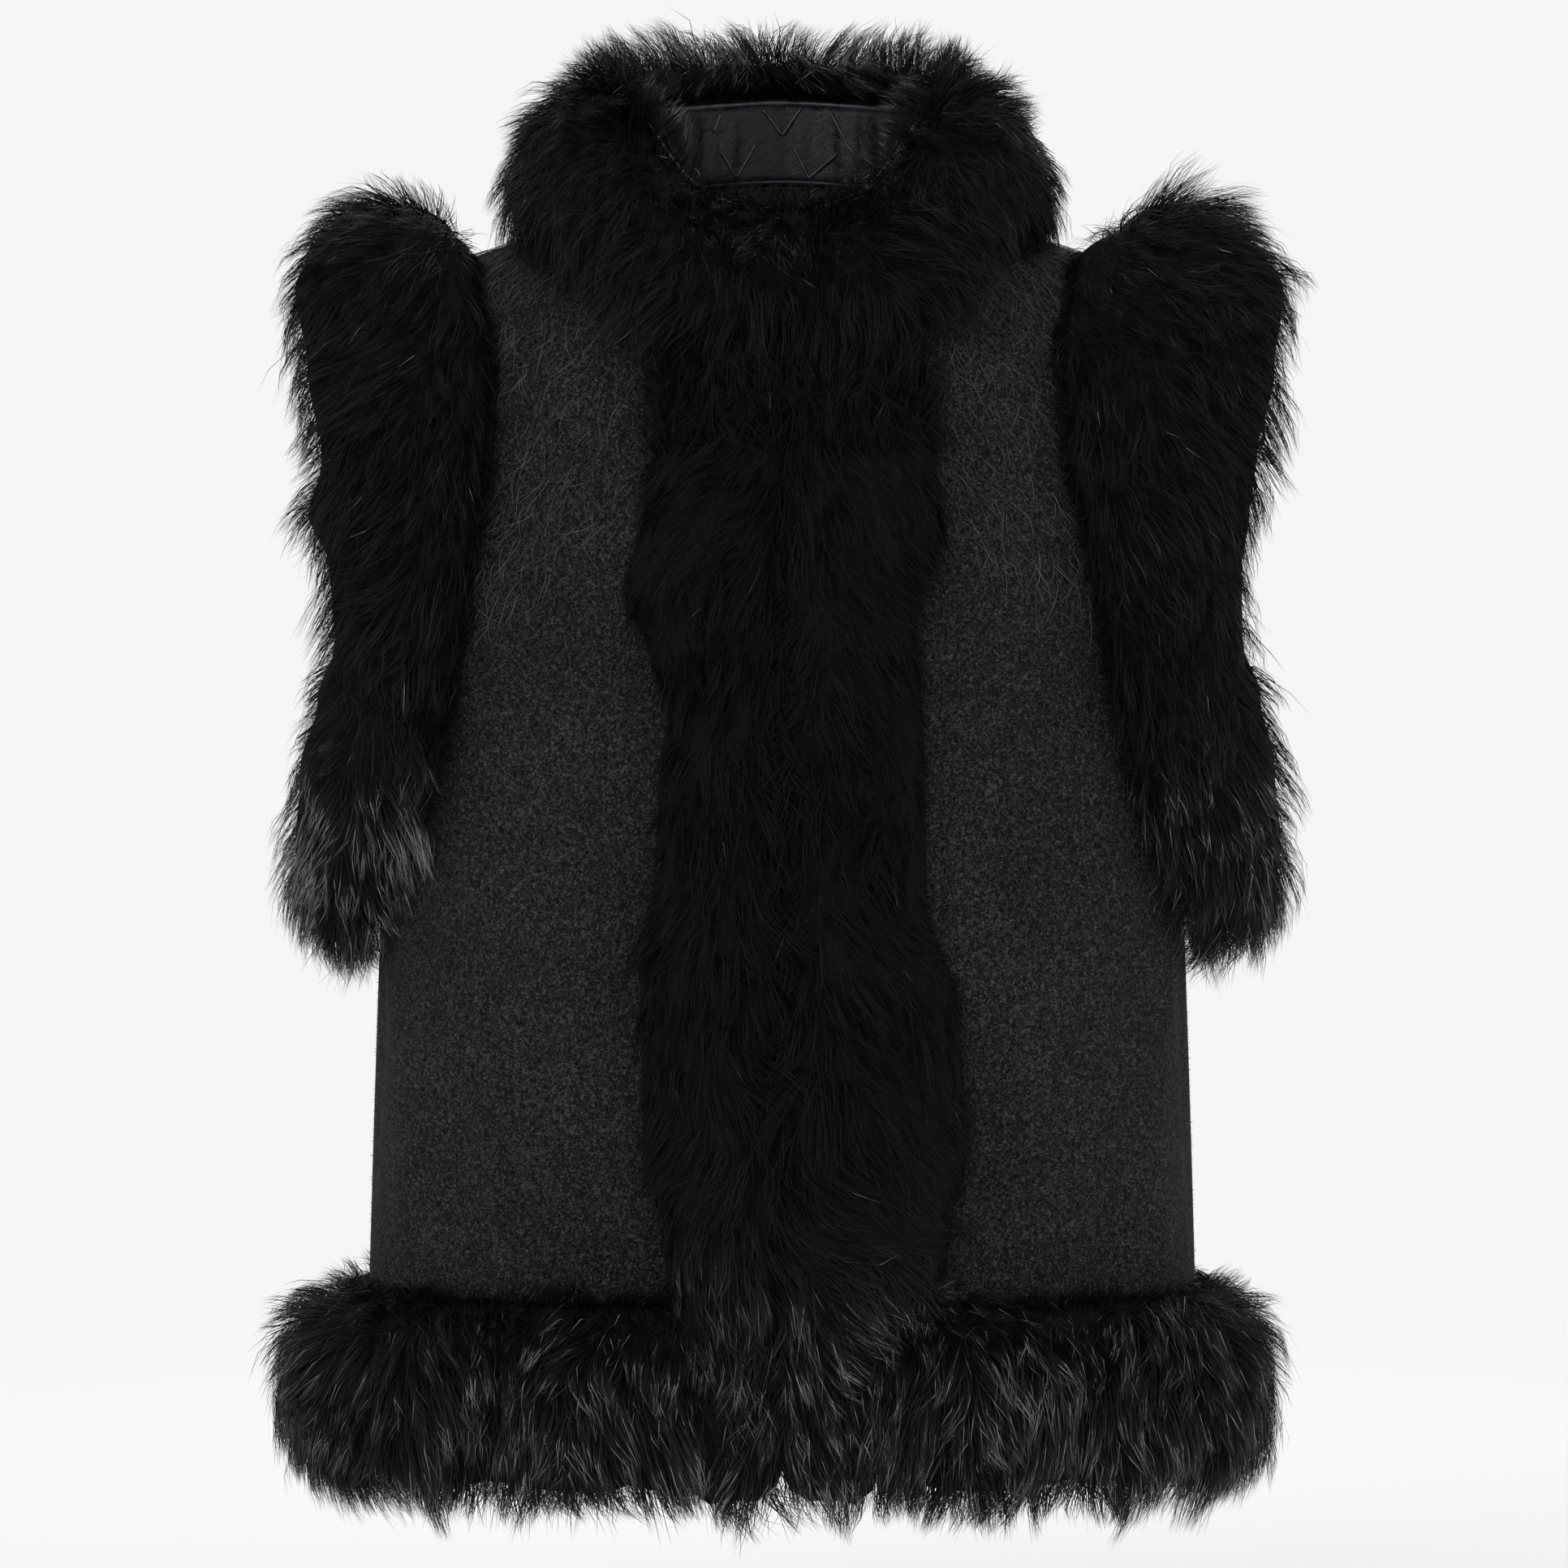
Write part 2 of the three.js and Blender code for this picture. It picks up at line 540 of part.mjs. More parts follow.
function hemStrip(side, isBack) {
  const start = girthAt(FRONT_EDGE_X, HEM_LEVEL);
  const [from, to] = isBack ? [90 + HEM_SEAM_TURN, 180 - HEM_SEAM_TURN] : [start, 90 - HEM_SEAM_TURN];
  const rings = steps(14).map((share) => hemSection(side, mix(from, to, share)));
  return loft(onSide(side, rings));
}

// Armhole fur: the hide stands out sideways from the seam like a short sleeve, and the hair rolls
// outwards over the cloth round it. Each ring has a front, a back and an underarm strip.
const ARMHOLE_CENTRE_Z = -180;
const ARMHOLE_SEAM_LENGTH = 470; // from the underarm up to the shoulder seam
const ARMHOLE_TUFT = { length: 130, left: 0.1, right: 0.35, least: 0.88, deep: 0.14 };
const ARMHOLE_LIP_THICK = 3.5;
const ARMHOLE_SEAM_CLEAR = 0.4;
const ARMHOLE_TIP = { in: 6, over: 4, rise: 10 }; // where the hair's outline ends, at its reach
const SLEEVE = { short: 34, least: 20, drop: 2.9, middleDrop: 2.5 }; // the hide ends this short of the hair

function armholeSection(side, seam) {
  const at = body(seam.girth, seam.level);
  const normal = bodyNormal(seam.girth, seam.level);
  const forward = seam.before.clone().sub(seam.after).normalize();
  const sideways = new THREE.Vector3(1, 0, 0);
  sideways.addScaledVector(forward, -sideways.dot(forward)).normalize();
  const hole = new THREE.Vector3(at.x, 0, ARMHOLE_CENTRE_Z);
  const away = forward.clone().cross(sideways).normalize();
  if (away.dot(at.clone().sub(hole)) < 0) away.negate();
  const onto = forward.clone().cross(normal).normalize();
  if (onto.dot(away) < 0 && onto.dot(sideways) > -0.2) onto.negate();
  if (onto.dot(sideways) > 0.2) onto.negate();
  const reach = fromTable(ARMHOLE_REACH[side], at.z, "reach") - at.x;
  const lip = fromTable(ARMHOLE_REACH[side], at.z, "lip");
  const depth = fromTable(ARMHOLE_REACH[side], at.z, "depth");
  const tufts = tuft(seam.along, ARMHOLE_TUFT.length, ARMHOLE_TUFT[side]);
  const swell = ARMHOLE_TUFT.least + ARMHOLE_TUFT.deep * tufts;
  const place = (l, r) => at.clone().addScaledVector(sideways, l).addScaledVector(away, r);
  const seat = at.clone().addScaledVector(onto, -ARMHOLE_SEAM_CLEAR);
  const lipEnd = at.clone().addScaledVector(onto, lip).addScaledVector(normal, LIE_OFF);
  const lipTop = lipEnd.clone().addScaledVector(normal, ARMHOLE_LIP_THICK);
  const lipAway = lipTop.clone().sub(at).dot(away);
  const tip = place(reach, ARMHOLE_TIP.rise);
  const curve = new THREE.CubicBezierCurve3(
    lipTop,
    lipTop.clone().addScaledVector(away, depth * swell - lipAway),
    place(reach - ARMHOLE_TIP.in, (depth + ARMHOLE_TIP.over) * swell),
    tip,
  );
  const hideEnd = Math.max(reach - SLEEVE.short, SLEEVE.least);
  return [
    place(hideEnd, -SLEEVE.drop),
    seat.clone().addScaledVector(away, -CLOTH_THICK).addScaledVector(sideways, hideEnd * 0.5),
    seat.clone().addScaledVector(away, -CLOTH_THICK),
    seat.clone().addScaledVector(normal, LIE_OFF),
    lipEnd.clone().addScaledVector(onto, -lip / 2),
    lipEnd,
    ...curve.getPoints(7),
    place(reach - 5, 2),
    place(mix(hideEnd, reach, 0.5), -SLEEVE.middleDrop),
  ];
}

// Places on the whole armhole seam, up the front (share 0 to 1) or the back, with neighbours for direction.
function armholePlaces(from, to, count) {
  const at = (share) => {
    const seam = armholeSeam(Math.abs(share), share < 0);
    return { ...seam, point: body(seam.girth, seam.level) };
  };
  const around = (value) => (value > 1 ? -(2 - value) : value < -1 ? 2 + value : value);
  return steps(count).map((share) => {
    const value = mix(from, to, share);
    const near = 0.01;
    return {
      ...at(around(value)),
      before: at(around(value + near)).point,
      after: at(around(value - near)).point,
      along: value * ARMHOLE_SEAM_LENGTH,
    };
  });
}

const UNDERARM_SHARE = 0.386;
const ARMHOLE_SEAM_SHARE = 0.0006;
const ARMHOLE_STRIPS = [
  { name: "underarm", from: -UNDERARM_SHARE, to: UNDERARM_SHARE, count: 16 },
  { name: "front", from: UNDERARM_SHARE + ARMHOLE_SEAM_SHARE, to: 1 - ARMHOLE_SEAM_SHARE, count: 13 },
  { name: "back", from: -UNDERARM_SHARE - ARMHOLE_SEAM_SHARE, to: -1 + ARMHOLE_SEAM_SHARE, count: 13 },
];

function armholeStrip(side, strip) {
  const places = armholePlaces(strip.from, strip.to, strip.count);
  return loft(onSide(side, places.map((place) => armholeSection(side, place))));
}

// Materials
const wool = new THREE.MeshStandardMaterial({ color: 0x252427, roughness: 0.95, metalness: 0 });
const fur = new THREE.MeshStandardMaterial({ color: 0x0c0b0c, roughness: 0.6, metalness: 0 });
const leather = new THREE.MeshStandardMaterial({ color: 0x17181c, roughness: 0.4, metalness: 0 });

// Assembly
const vest = new THREE.Group();
function add(name, geometry, material) {
  const mesh = new THREE.Mesh(geometry, material);
  mesh.name = name;
  vest.add(mesh);
}

for (const side of ["right", "left"]) {
  for (const isBack of [false, true]) {
    const [outer, inner] = panel(isBack);
    add(`${isBack ? "back" : "front"}_${side}`, wall(onSide(side, outer), onSide(side, inner)), wool);
    add(`hem_fur_${isBack ? "back" : "front"}_${side}`, hemStrip(side, isBack), fur);
  }
  add(`front_fur_${side}`, frontStrip(side), fur);
  for (const strip of ARMHOLE_STRIPS) add(`armhole_fur_${strip.name}_${side}`, armholeStrip(side, strip), fur);
}
add("collar_band", collarBand(), leather);
add(
  "collar_fur",
  loft(ROUND_THE_NECK.map(({ side, angle }) => onSide(side, collarSection(side, angle)))),
  fur,
);

export default vest;
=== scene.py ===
import bpy
import numpy as np
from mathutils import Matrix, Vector, kdtree


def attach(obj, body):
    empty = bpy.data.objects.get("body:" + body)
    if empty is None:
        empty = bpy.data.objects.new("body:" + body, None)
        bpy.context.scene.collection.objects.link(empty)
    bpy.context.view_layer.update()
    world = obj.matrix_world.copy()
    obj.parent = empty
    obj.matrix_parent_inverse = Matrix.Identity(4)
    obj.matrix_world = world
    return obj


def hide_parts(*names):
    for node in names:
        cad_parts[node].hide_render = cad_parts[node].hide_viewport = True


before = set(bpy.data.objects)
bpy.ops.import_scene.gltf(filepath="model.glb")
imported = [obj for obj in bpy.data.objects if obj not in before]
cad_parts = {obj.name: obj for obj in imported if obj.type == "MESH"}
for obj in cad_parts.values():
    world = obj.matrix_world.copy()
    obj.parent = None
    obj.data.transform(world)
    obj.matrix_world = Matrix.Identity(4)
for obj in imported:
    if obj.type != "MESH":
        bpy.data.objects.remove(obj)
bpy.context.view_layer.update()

# Cloth: two fronts and two backs of thick boucle wool, each cut in one piece from the shoulder seam
# to the hem. They are sewn at the sides, the shoulders and the centre back, and stand in the rounded
# shape of a worn vest, with soft folds that start at the underarms, the shoulders and the hem.
CLOTH_THICK = 2.5
SEAM_GAP = 0.3
HEM_Z = -620
CHEST_Z = -130
HEM_LEVEL = HEM_Z - CHEST_Z
HEM_HALF_WIDTH = 239
CHEST_HALF_WIDTH = 222
FRONT_DEPTH = {"hem": 122, "chest": 116, "swell": 4}
BACK_DEPTH = {"hem": 118, "chest": 114, "swell": -4}
SQUARENESS = 2.3
TAPER_POWER = 1.2
SHOULDER = {"start": 94.4, "slope": -0.7947, "ease": 0.0012985, "round": 55}
SHOULDER_ROUND = 2.6
SHOULDER_LEVEL = 200
NECK_HALF_WIDTH = 88
NECK_HALF_DEPTH = 80
NECK_CENTRE_Y = -20
NECK_SHOULDER_ANGLE = np.arccos(NECK_CENTRE_Y / NECK_HALF_DEPTH)
UNDERARM_LEVEL = -215
ARMHOLE_MIDDLE_LEVEL = -35
ARMHOLE_INSET = 38
ARMHOLE_SHOULDER_SHARE = 0.85
FRONT_EDGE_X = 52


def mix(a, b, share):
    """The value at a share of the way from a to b."""
    return a + (b - a) * share


def spow(value, exponent):
    """A power that keeps the sign of its base."""
    return np.sign(value) * np.abs(value) ** exponent


def smoothstep(value, low, high):
    """0 below low, 1 above high, and 3t^2 - 2t^3 of the share t between them."""
    t = np.clip((value - low) / (high - low), 0, 1)
    return t * t * (3 - 2 * t)


def unit(vectors):
    """Each vector divided by its length."""
    return vectors / np.maximum(np.linalg.norm(vectors, axis=-1, keepdims=True), 1e-9)


def half_width_at(level):
    """Half width of the body, which narrows from hem to chest, and the share of that height."""
    share = np.clip((CHEST_Z + np.minimum(level, 0) - HEM_Z) / (CHEST_Z - HEM_Z), 0, 1)
    return mix(HEM_HALF_WIDTH, CHEST_HALF_WIDTH, share**TAPER_POWER), share


def shoulder_z(x):
    """Height of the shoulder seam: a parabola of the distance out, rounded over the centre line."""
    out = np.hypot(x, SHOULDER["round"])
    return SHOULDER["start"] + SHOULDER["slope"] * out + SHOULDER["ease"] * out**2


def body(girth, level):
    """The body's surface. Girth is 0 at the centre front, 90 at the side and 180 at the centre back.

    A level is a section: x = a sin^(2/n), y = -b cos^(2/n) of the girth. Level 0 is the chest line,
    and from there to the shoulder seam the section rolls over a quarter of a second such curve.
    """
    girth, level = np.broadcast_arrays(np.asarray(girth, float), np.asarray(level, float))
    half_width, share = half_width_at(level)

    def depth_of(half):
        return mix(half["hem"], half["chest"], share) + half["swell"] * np.sin(np.pi * share)

    depth = np.where(girth < 90, depth_of(FRONT_DEPTH), depth_of(BACK_DEPTH))
    over = np.pi / 2 * np.maximum(level, 0) / SHOULDER_LEVEL
    angle = np.radians(girth)
    x = half_width * spow(np.sin(angle), 2 / SQUARENESS)
    y = -depth * spow(np.cos(angle), 2 / SQUARENESS) * spow(np.cos(over), 2 / SHOULDER_ROUND)
    z = CHEST_Z + np.minimum(level, 0) + (shoulder_z(x) - CHEST_Z) * spow(np.sin(over), 2 / SHOULDER_ROUND)
    return np.stack([x, y, z], -1)


def body_normal(girth, level, step=0.5):
    """Outward unit normal, across small steps of girth and level."""
    across = body(girth + step, level) - body(girth - step, level)
    up = body(girth, level + step) - body(girth, level - step)
    return unit(np.cross(across, up))


def off_body(girth, level, out):
    """The body's surface moved out along its normal."""
    return body(girth, level) + body_normal(girth, level) * np.asarray(out, float)[..., None]


def girth_at(x, level, back=False):
    """Girth of the place at a distance from the centre line, the inverse of body's x."""
    ratio = np.minimum(1, x / half_width_at(level)[0])
    girth = np.degrees(np.arcsin(spow(ratio, SQUARENESS / 2)))
    return np.where(back, 180 - girth, girth)


def neck_seam(angle):
    """Distance out, level and side of the shoulder where the neck's oval meets the body.

    The oval's angle is 0 at the centre front and 180 degrees at the centre back.
    """
    x = NECK_HALF_WIDTH * np.sin(angle)
    y = NECK_CENTRE_Y - NECK_HALF_DEPTH * np.cos(angle)
    depth = np.where(y < 0, FRONT_DEPTH["chest"], BACK_DEPTH["chest"])
    depth = depth * (1 - (x / CHEST_HALF_WIDTH) ** SQUARENESS) ** (1 / SQUARENESS)
    over = np.arccos(np.minimum(1, np.abs(y) / depth) ** (SHOULDER_ROUND / 2))
    return x, SHOULDER_LEVEL * over / (np.pi / 2), angle > NECK_SHOULDER_ANGLE


def armhole_seam(share):
    """Girth and level of the armhole: a quarter circle from the underarm, at 0, then a line that eases.

    Shares rise up the front to the shoulder seam, at 1, and fall up the back to it, at -1.
    """
    half = ARMHOLE_MIDDLE_LEVEL - UNDERARM_LEVEL
    top = np.pi / 2 + (SHOULDER_LEVEL - ARMHOLE_MIDDLE_LEVEL) / half
    angle = np.abs(share) * top
    low = angle <= np.pi / 2
    rounded_level = UNDERARM_LEVEL + half * (1 - np.cos(np.minimum(angle, np.pi / 2)))
    level = np.where(low, rounded_level, ARMHOLE_MIDDLE_LEVEL + half * (angle - np.pi / 2))
    eased = smoothstep(angle, np.pi / 2, top)
    inset = ARMHOLE_INSET * np.where(low, np.sin(angle), mix(1, ARMHOLE_SHOULDER_SHARE, eased))
    return 90 - np.sign(share) * inset, level


# The panels' grids: rows run from the centre edge to the side seam and the armhole
SIDE_ROWS = 38
ARMHOLE_ROWS = 50
NECK_ROWS = {"front": 20, "back": 30}
PANEL_COLUMNS = 40
# A degree of girth measures about this much
GIRTH_MM = 3.2
SEAM_FADE = 6
FOLD_FADE = 0.9
FOLD_BELL = 2.5
# Folds by row: from one girth and level to another, how wide and how high. Girths under 90 are in front
FOLDS = [
    (83, -480, 76, -240, 24, -3.2),
    (64, -486, 60, -330, 30, 2.6),
    (47, -480, 50, -380, 24, -2.2),
    (85, -232, 62, -345, 17, 2.6),
    (80, -222, 54, -275, 14, -1.9),
    (62, 20, 42, -85, 20, -2.0),
    (98, -482, 106, -270, 26, -3.2),
    (118, -486, 122, -350, 34, 3.0),
    (146, -480, 141, -320, 28, -2.7),
    (165, -470, 168, -360, 26, 1.8),
    (96, -232, 122, -330, 18, 2.4),
    (128, 30, 142, -60, 20, -2.0),
]
# What each side of the vest does to those folds, so that the sides aren't alike
FOLD_SHIFT = {"left": {"turn": 0, "rise": 0, "deep": 1}, "right": {"turn": 2.5, "rise": 26, "deep": 0.85}}


def folds(girth, level, side):
    """Soft troughs and ridges: a bell across each one, faded by a sine towards both its ends."""
    total = np.zeros(np.broadcast(girth, level).shape)
    shift = FOLD_SHIFT[side]
    for number, (g0, l0, g1, l1, wide, deep) in enumerate(FOLDS):
        sway = shift["turn"] * (1 if number % 2 else -1)
        run_x, run_y = (g1 - g0 + sway) * GIRTH_MM, l1 - l0
        reach = np.hypot(run_x, run_y)
        dx, dy = (girth - g0) * GIRTH_MM, level - l0 - (shift["rise"] if run_y > 0 else 0)
        share = (dx * run_x + dy * run_y) / reach**2
        across = (dx * run_y - dy * run_x) / reach
        fade = np.sin(np.pi * np.clip(share, 0, 1)) ** FOLD_FADE
        total += deep * shift["deep"] * fade * np.exp(-FOLD_BELL * (across / wide) ** 2)
    return total


def panel_grid(half):
    """Girths and levels of one panel: straight rows between its centre edge and its outer edge."""
    back = half == "back"
    edge_x, edge_angle = (0, np.pi) if back else (FRONT_EDGE_X, np.arcsin(FRONT_EDGE_X / NECK_HALF_WIDTH))
    low = np.linspace(HEM_LEVEL, UNDERARM_LEVEL, SIDE_ROWS + 1)
    share = np.arange(1, ARMHOLE_ROWS + 1) / ARMHOLE_ROWS
    end_girth, end_level = armhole_seam(-share if back else share)
    neck_rows = NECK_ROWS[half]
    rising = np.arange(1, ARMHOLE_ROWS - neck_rows + 1) / (ARMHOLE_ROWS - neck_rows)
    edge_level = mix(UNDERARM_LEVEL, neck_seam(edge_angle)[1], rising)
    turned = np.arange(1, neck_rows + 1) / neck_rows
    neck_x, neck_level, _ = neck_seam(mix(edge_angle, NECK_SHOULDER_ANGLE, turned))
    start_level = np.concatenate([low, edge_level, neck_level])
    start_x = np.concatenate([np.full(len(low) + len(rising), edge_x), neck_x])
    start_girth = girth_at(start_x, start_level, back)
    end_girth = np.concatenate([np.full(len(low), 90.0), end_girth])
    end_level = np.concatenate([low, end_level])
    across = np.linspace(0, 1, PANEL_COLUMNS + 1)
    return [
        mix(start[:, None], end[:, None], across)
        for start, end in ((start_girth, end_girth), (start_level, end_level))
    ]


def panel_faces(side, half):
    """The cloth's outer and inner faces: the body moved by the folds, which die out at the seams."""
    girth, level = panel_grid(half)
    across = np.linspace(0, 1, PANEL_COLUMNS + 1)
    at_seam = np.minimum(np.minimum(across, 1 - across) * SEAM_FADE, 1)[None, :]
    soft = folds(girth, level, side) * at_seam
    shift = {"back": (SEAM_GAP / 2, SEAM_GAP / 2, 0), "front": (0, -SEAM_GAP / 2, 0)}[half]
    return off_body(girth, level, soft) + shift, off_body(girth, level, soft - CLOTH_THICK) + shift


def facing_out(points, faces):
    """The faces, turned over where the closed surface would enclose a negative volume."""
    corners = points[faces]
    volume = np.sum(corners[:, 0] * np.cross(corners[:, 1], corners[:, 2]))
    return faces if volume > 0 else faces[:, ::-1]


def cells(ids, back=False):
    """The quads of a grid of point numbers, seen from its front or from its back."""
    ids = np.asarray(ids)
    quads = np.stack([ids[:-1, :-1], ids[:-1, 1:], ids[1:, 1:], ids[1:, :-1]], -1).reshape(-1, 4)
    return quads[:, [0, 3, 2, 1]] if back else quads


def triangles(quads):
    """Two triangles for each quad."""
    return np.concatenate([quads[:, [0, 1, 2]], quads[:, [0, 2, 3]]])


def wall(outer, inner):
    """Places and triangles of a closed wall between two grids: both faces and the four rims."""
    rows, columns = outer.shape[:2]
    points = np.concatenate([outer.reshape(-1, 3), inner.reshape(-1, 3)])
    out, back = np.arange(2 * rows * columns).reshape(2, rows, columns)
    rims = [(back[0], out[0]), (out[-1], back[-1]), (out[:, 0], back[:, 0]), (back[:, -1], out[:, -1])]
    quads = np.concatenate([cells(out), cells(back, back=True), *map(cells, rims)])
    return points, facing_out(points, triangles(quads))


def add_mesh(name, side, points, faces, materials, slots=None, shade=None):
    """One mesh object from places in millimetres and triangles, mirrored for the wearer's right."""
    if side == "right":
        points = points * np.array([-1, 1, 1])
        faces = faces[:, ::-1]
    mesh = bpy.data.meshes.new(name)
    mesh.vertices.add(len(points))
    mesh.vertices.foreach_set("co", (points * 0.001).astype(np.float32).ravel())
    mesh.loops.add(faces.size)
    mesh.loops.foreach_set("vertex_index", faces.astype(np.int32).ravel())
    mesh.polygons.add(len(faces))
    mesh.polygons.foreach_set("loop_start", np.arange(0, faces.size, 3, dtype=np.int32))
    mesh.polygons.foreach_set("use_smooth", np.full(len(faces), True))
    for material in materials:
        mesh.materials.append(material)
    if slots is not None:
        mesh.polygons.foreach_set("material_index", slots.astype(np.int32))
    if shade is not None:
        attribute = mesh.attributes.new("shade", "FLOAT", "POINT")
        attribute.data.foreach_set("value", shade.astype(np.float32))
    mesh.update(calc_edges=True)
    thing = bpy.data.objects.new(name, mesh)
    bpy.context.scene.collection.objects.link(thing)
    return thing


def new_material(name, colour, roughness, specular):
    """A material and its shader, whose own sockets hold the constants."""
    made = bpy.data.materials.new(name)
    made.use_nodes = True
    shader = made.node_tree.nodes["Principled BSDF"]
    shader.inputs["Base Color"].default_value = (*colour, 1)
    shader.inputs["Roughness"].default_value = roughness
    shader.inputs["Specular IOR Level"].default_value = specular
    return made, shader


def feed(material, socket, value):
    """Gives a socket a value, or joins another node's output to it."""
    if isinstance(value, bpy.types.NodeSocket):
        material.node_tree.links.new(value, socket)
    else:
        socket.default_value = value


def add_node(material, kind, **sockets):
    """A node whose sockets are fed as named."""
    node = material.node_tree.nodes.new(kind)
    for name, value in sockets.items():
        feed(material, node.inputs[name], value)
    return node


def texture(material, kind, **sockets):
    """A texture node on object coordinates."""
    place = add_node(material, "ShaderNodeTexCoord").outputs["Object"]
    return add_node(material, kind, Vector=place, **sockets)


def ramp(material, value, stops):
    """A colour ramp of (position, colour) stops, driven by a value."""
    node = add_node(material, "ShaderNodeValToRGB", Fac=value)
    elements = node.color_ramp.elements
    while len(elements) < len(stops):
        elements.new(0.5)
    for element, (position, colour) in zip(elements, stops):
        element.position = position
        element.color = (*colour, 1)
    return node.outputs["Color"]


def speckled(name, colour, roughness, specular, noise, stops, reliefs, grains=None):
    """A material coloured by a ramp over noise: the material, its shader, the noise and that colour.

    Bumps lie one over another. Each follows the noise or the distance from the middle of round
    grains, with a strength and a height in metres.
    """
    made, shader = new_material(name, colour, roughness, specular)
    heights = {"noise": texture(made, "ShaderNodeTexNoise", **noise).outputs["Fac"]}
    if grains is not None:
        heights["grains"] = texture(made, "ShaderNodeTexVoronoi", Scale=grains).outputs["Distance"]
    flecks = ramp(made, heights["noise"], stops)
    feed(made, shader.inputs["Base Color"], flecks)
    under = {}
    for kind, strength, height in reliefs:
        sockets = {"Height": heights[kind], "Strength": strength, "Distance": height, **under}
        under = {"Normal": add_node(made, "ShaderNodeBump", **sockets).outputs["Normal"]}
    feed(made, shader.inputs["Normal"], under["Normal"])
    return made, shader, heights["noise"], flecks


def wool_material():
    """Black yarn in small crooked loops 1 to 2 mm across, flecked paler, over slow clouds of tone."""
    loops = {"Scale": 560.0, "Detail": 3.0, "Roughness": 0.65, "Distortion": 1.2}
    stops = [
        (0.38, (0.0026, 0.0026, 0.0028)),
        (0.51, (0.0128, 0.0127, 0.0136)),
        (0.64, (0.058, 0.058, 0.060)),
    ]
    reliefs = [("grains", 0.9, 0.0012), ("noise", 0.8, 0.001)]
    made, shader, _, flecks = speckled("wool", (0.01, 0.01, 0.011), 0.95, 0.08, loops, stops, reliefs, 680.0)
    shader.inputs["Sheen Weight"].default_value = 0.02
    shader.inputs["Sheen Roughness"].default_value = 0.5
    cloud = texture(made, "ShaderNodeTexNoise", Scale=11.0, Detail=4.0, Roughness=0.6).outputs["Fac"]
    tone = ramp(made, cloud, [(0.3, (0.66, 0.66, 0.68)), (0.7, (1.0, 0.99, 0.97))])
    product = add_node(made, "ShaderNodeMix")
    product.data_type = "RGBA"
    product.blend_type = "MULTIPLY"
    for name, value in (("Factor", 1.0), ("A", flecks), ("B", tone)):
        feed(made, product.inputs[name], value)
    feed(made, shader.inputs["Base Color"], product.outputs["Result"])
    return made


WOOL = wool_material()


PANELS = [(side, half) for side in ("right", "left") for half in ("front", "back")]
for side, half in PANELS:
    outer, inner = panel_faces(side, half)
    cloth = add_mesh(f"{half}_{side}_cloth", side, *wall(outer, inner), [WOOL])
    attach(cloth, "root")
    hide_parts(f"{half}_{side}")


# Nap: loose ends of the wool stand off its face, and longer brushed hairs lie downwards over its upper
# part, below the collar and beside the armholes. Each hair is a thin ribbon with a pointed tip.
STRAND_SHARES = np.array([0.0, 0.3, 0.66, 1.0])
STRAND_WIDTHS = np.array([0.9, 1.0, 0.7])
NAP_HAIRS = 1300
NAP_LOW_ROW = SIDE_ROWS + 18
NAP_LENGTH = (8, 26)
NAP_WIDTH = 0.36
NAP_ARCH = {"root": 0.3, "high": 1.3, "turn": 0.8 * np.pi}
NAP_LOOPS = 6000
LOOP_HALF_WIDTH = 0.16
LOOP_LENGTH = (1, 2.2)


def ribbons(curves, normals, widths, roll):
    """Places and triangles of ribbons on curves of 4 points, turned about themselves by roll.

    A ribbon's edges lie half its width to each side of its curve, and meet at its tip.
    """
    along = unit(np.gradient(curves, axis=1))
    facing = unit(normals[:, None] - along * np.sum(normals[:, None] * along, -1, keepdims=True))
    side = np.cross(along, facing)
    side = side * np.cos(roll)[:, None, None] + facing * np.sin(roll)[:, None, None]
    half = side[:, :3] * (widths[:, None] * STRAND_WIDTHS / 2)[..., None]
    edges = np.stack([curves[:, :3] - half, curves[:, :3] + half], 2).reshape(len(curves), 6, 3)
    places = np.concatenate([edges, curves[:, 3:]], 1)
    pattern = np.array([[0, 1, 3], [0, 3, 2], [2, 3, 5], [2, 5, 4], [4, 5, 6]])
    faces = (np.arange(len(curves))[:, None, None] * 7 + pattern).reshape(-1, 3)
    return places.reshape(-1, 3), faces


def hair_material(name, stops, roughness, specular):
    """Hair coloured by the shade attribute, which runs from root to tip."""
    made, shader = new_material(name, (0.005, 0.005, 0.005), roughness, specular)
    shade = add_node(made, "ShaderNodeAttribute")
    shade.attribute_name = "shade"
    feed(made, shader.inputs["Base Color"], ramp(made, shade.outputs["Fac"], stops))
    return made


NAP = hair_material("nap", [(0.0, (0.003, 0.003, 0.0035)), (1.0, (0.08, 0.08, 0.083))], 0.7, 0.2)


def on_grid(grid, i, j, a, b):
    """Bilinear values of a grid at cells i, j and shares a, b across them."""
    a, b = a[:, None], b[:, None]
    return mix(mix(grid[i, j], grid[i + 1, j], a), mix(grid[i, j + 1], grid[i + 1, j + 1], a), b)


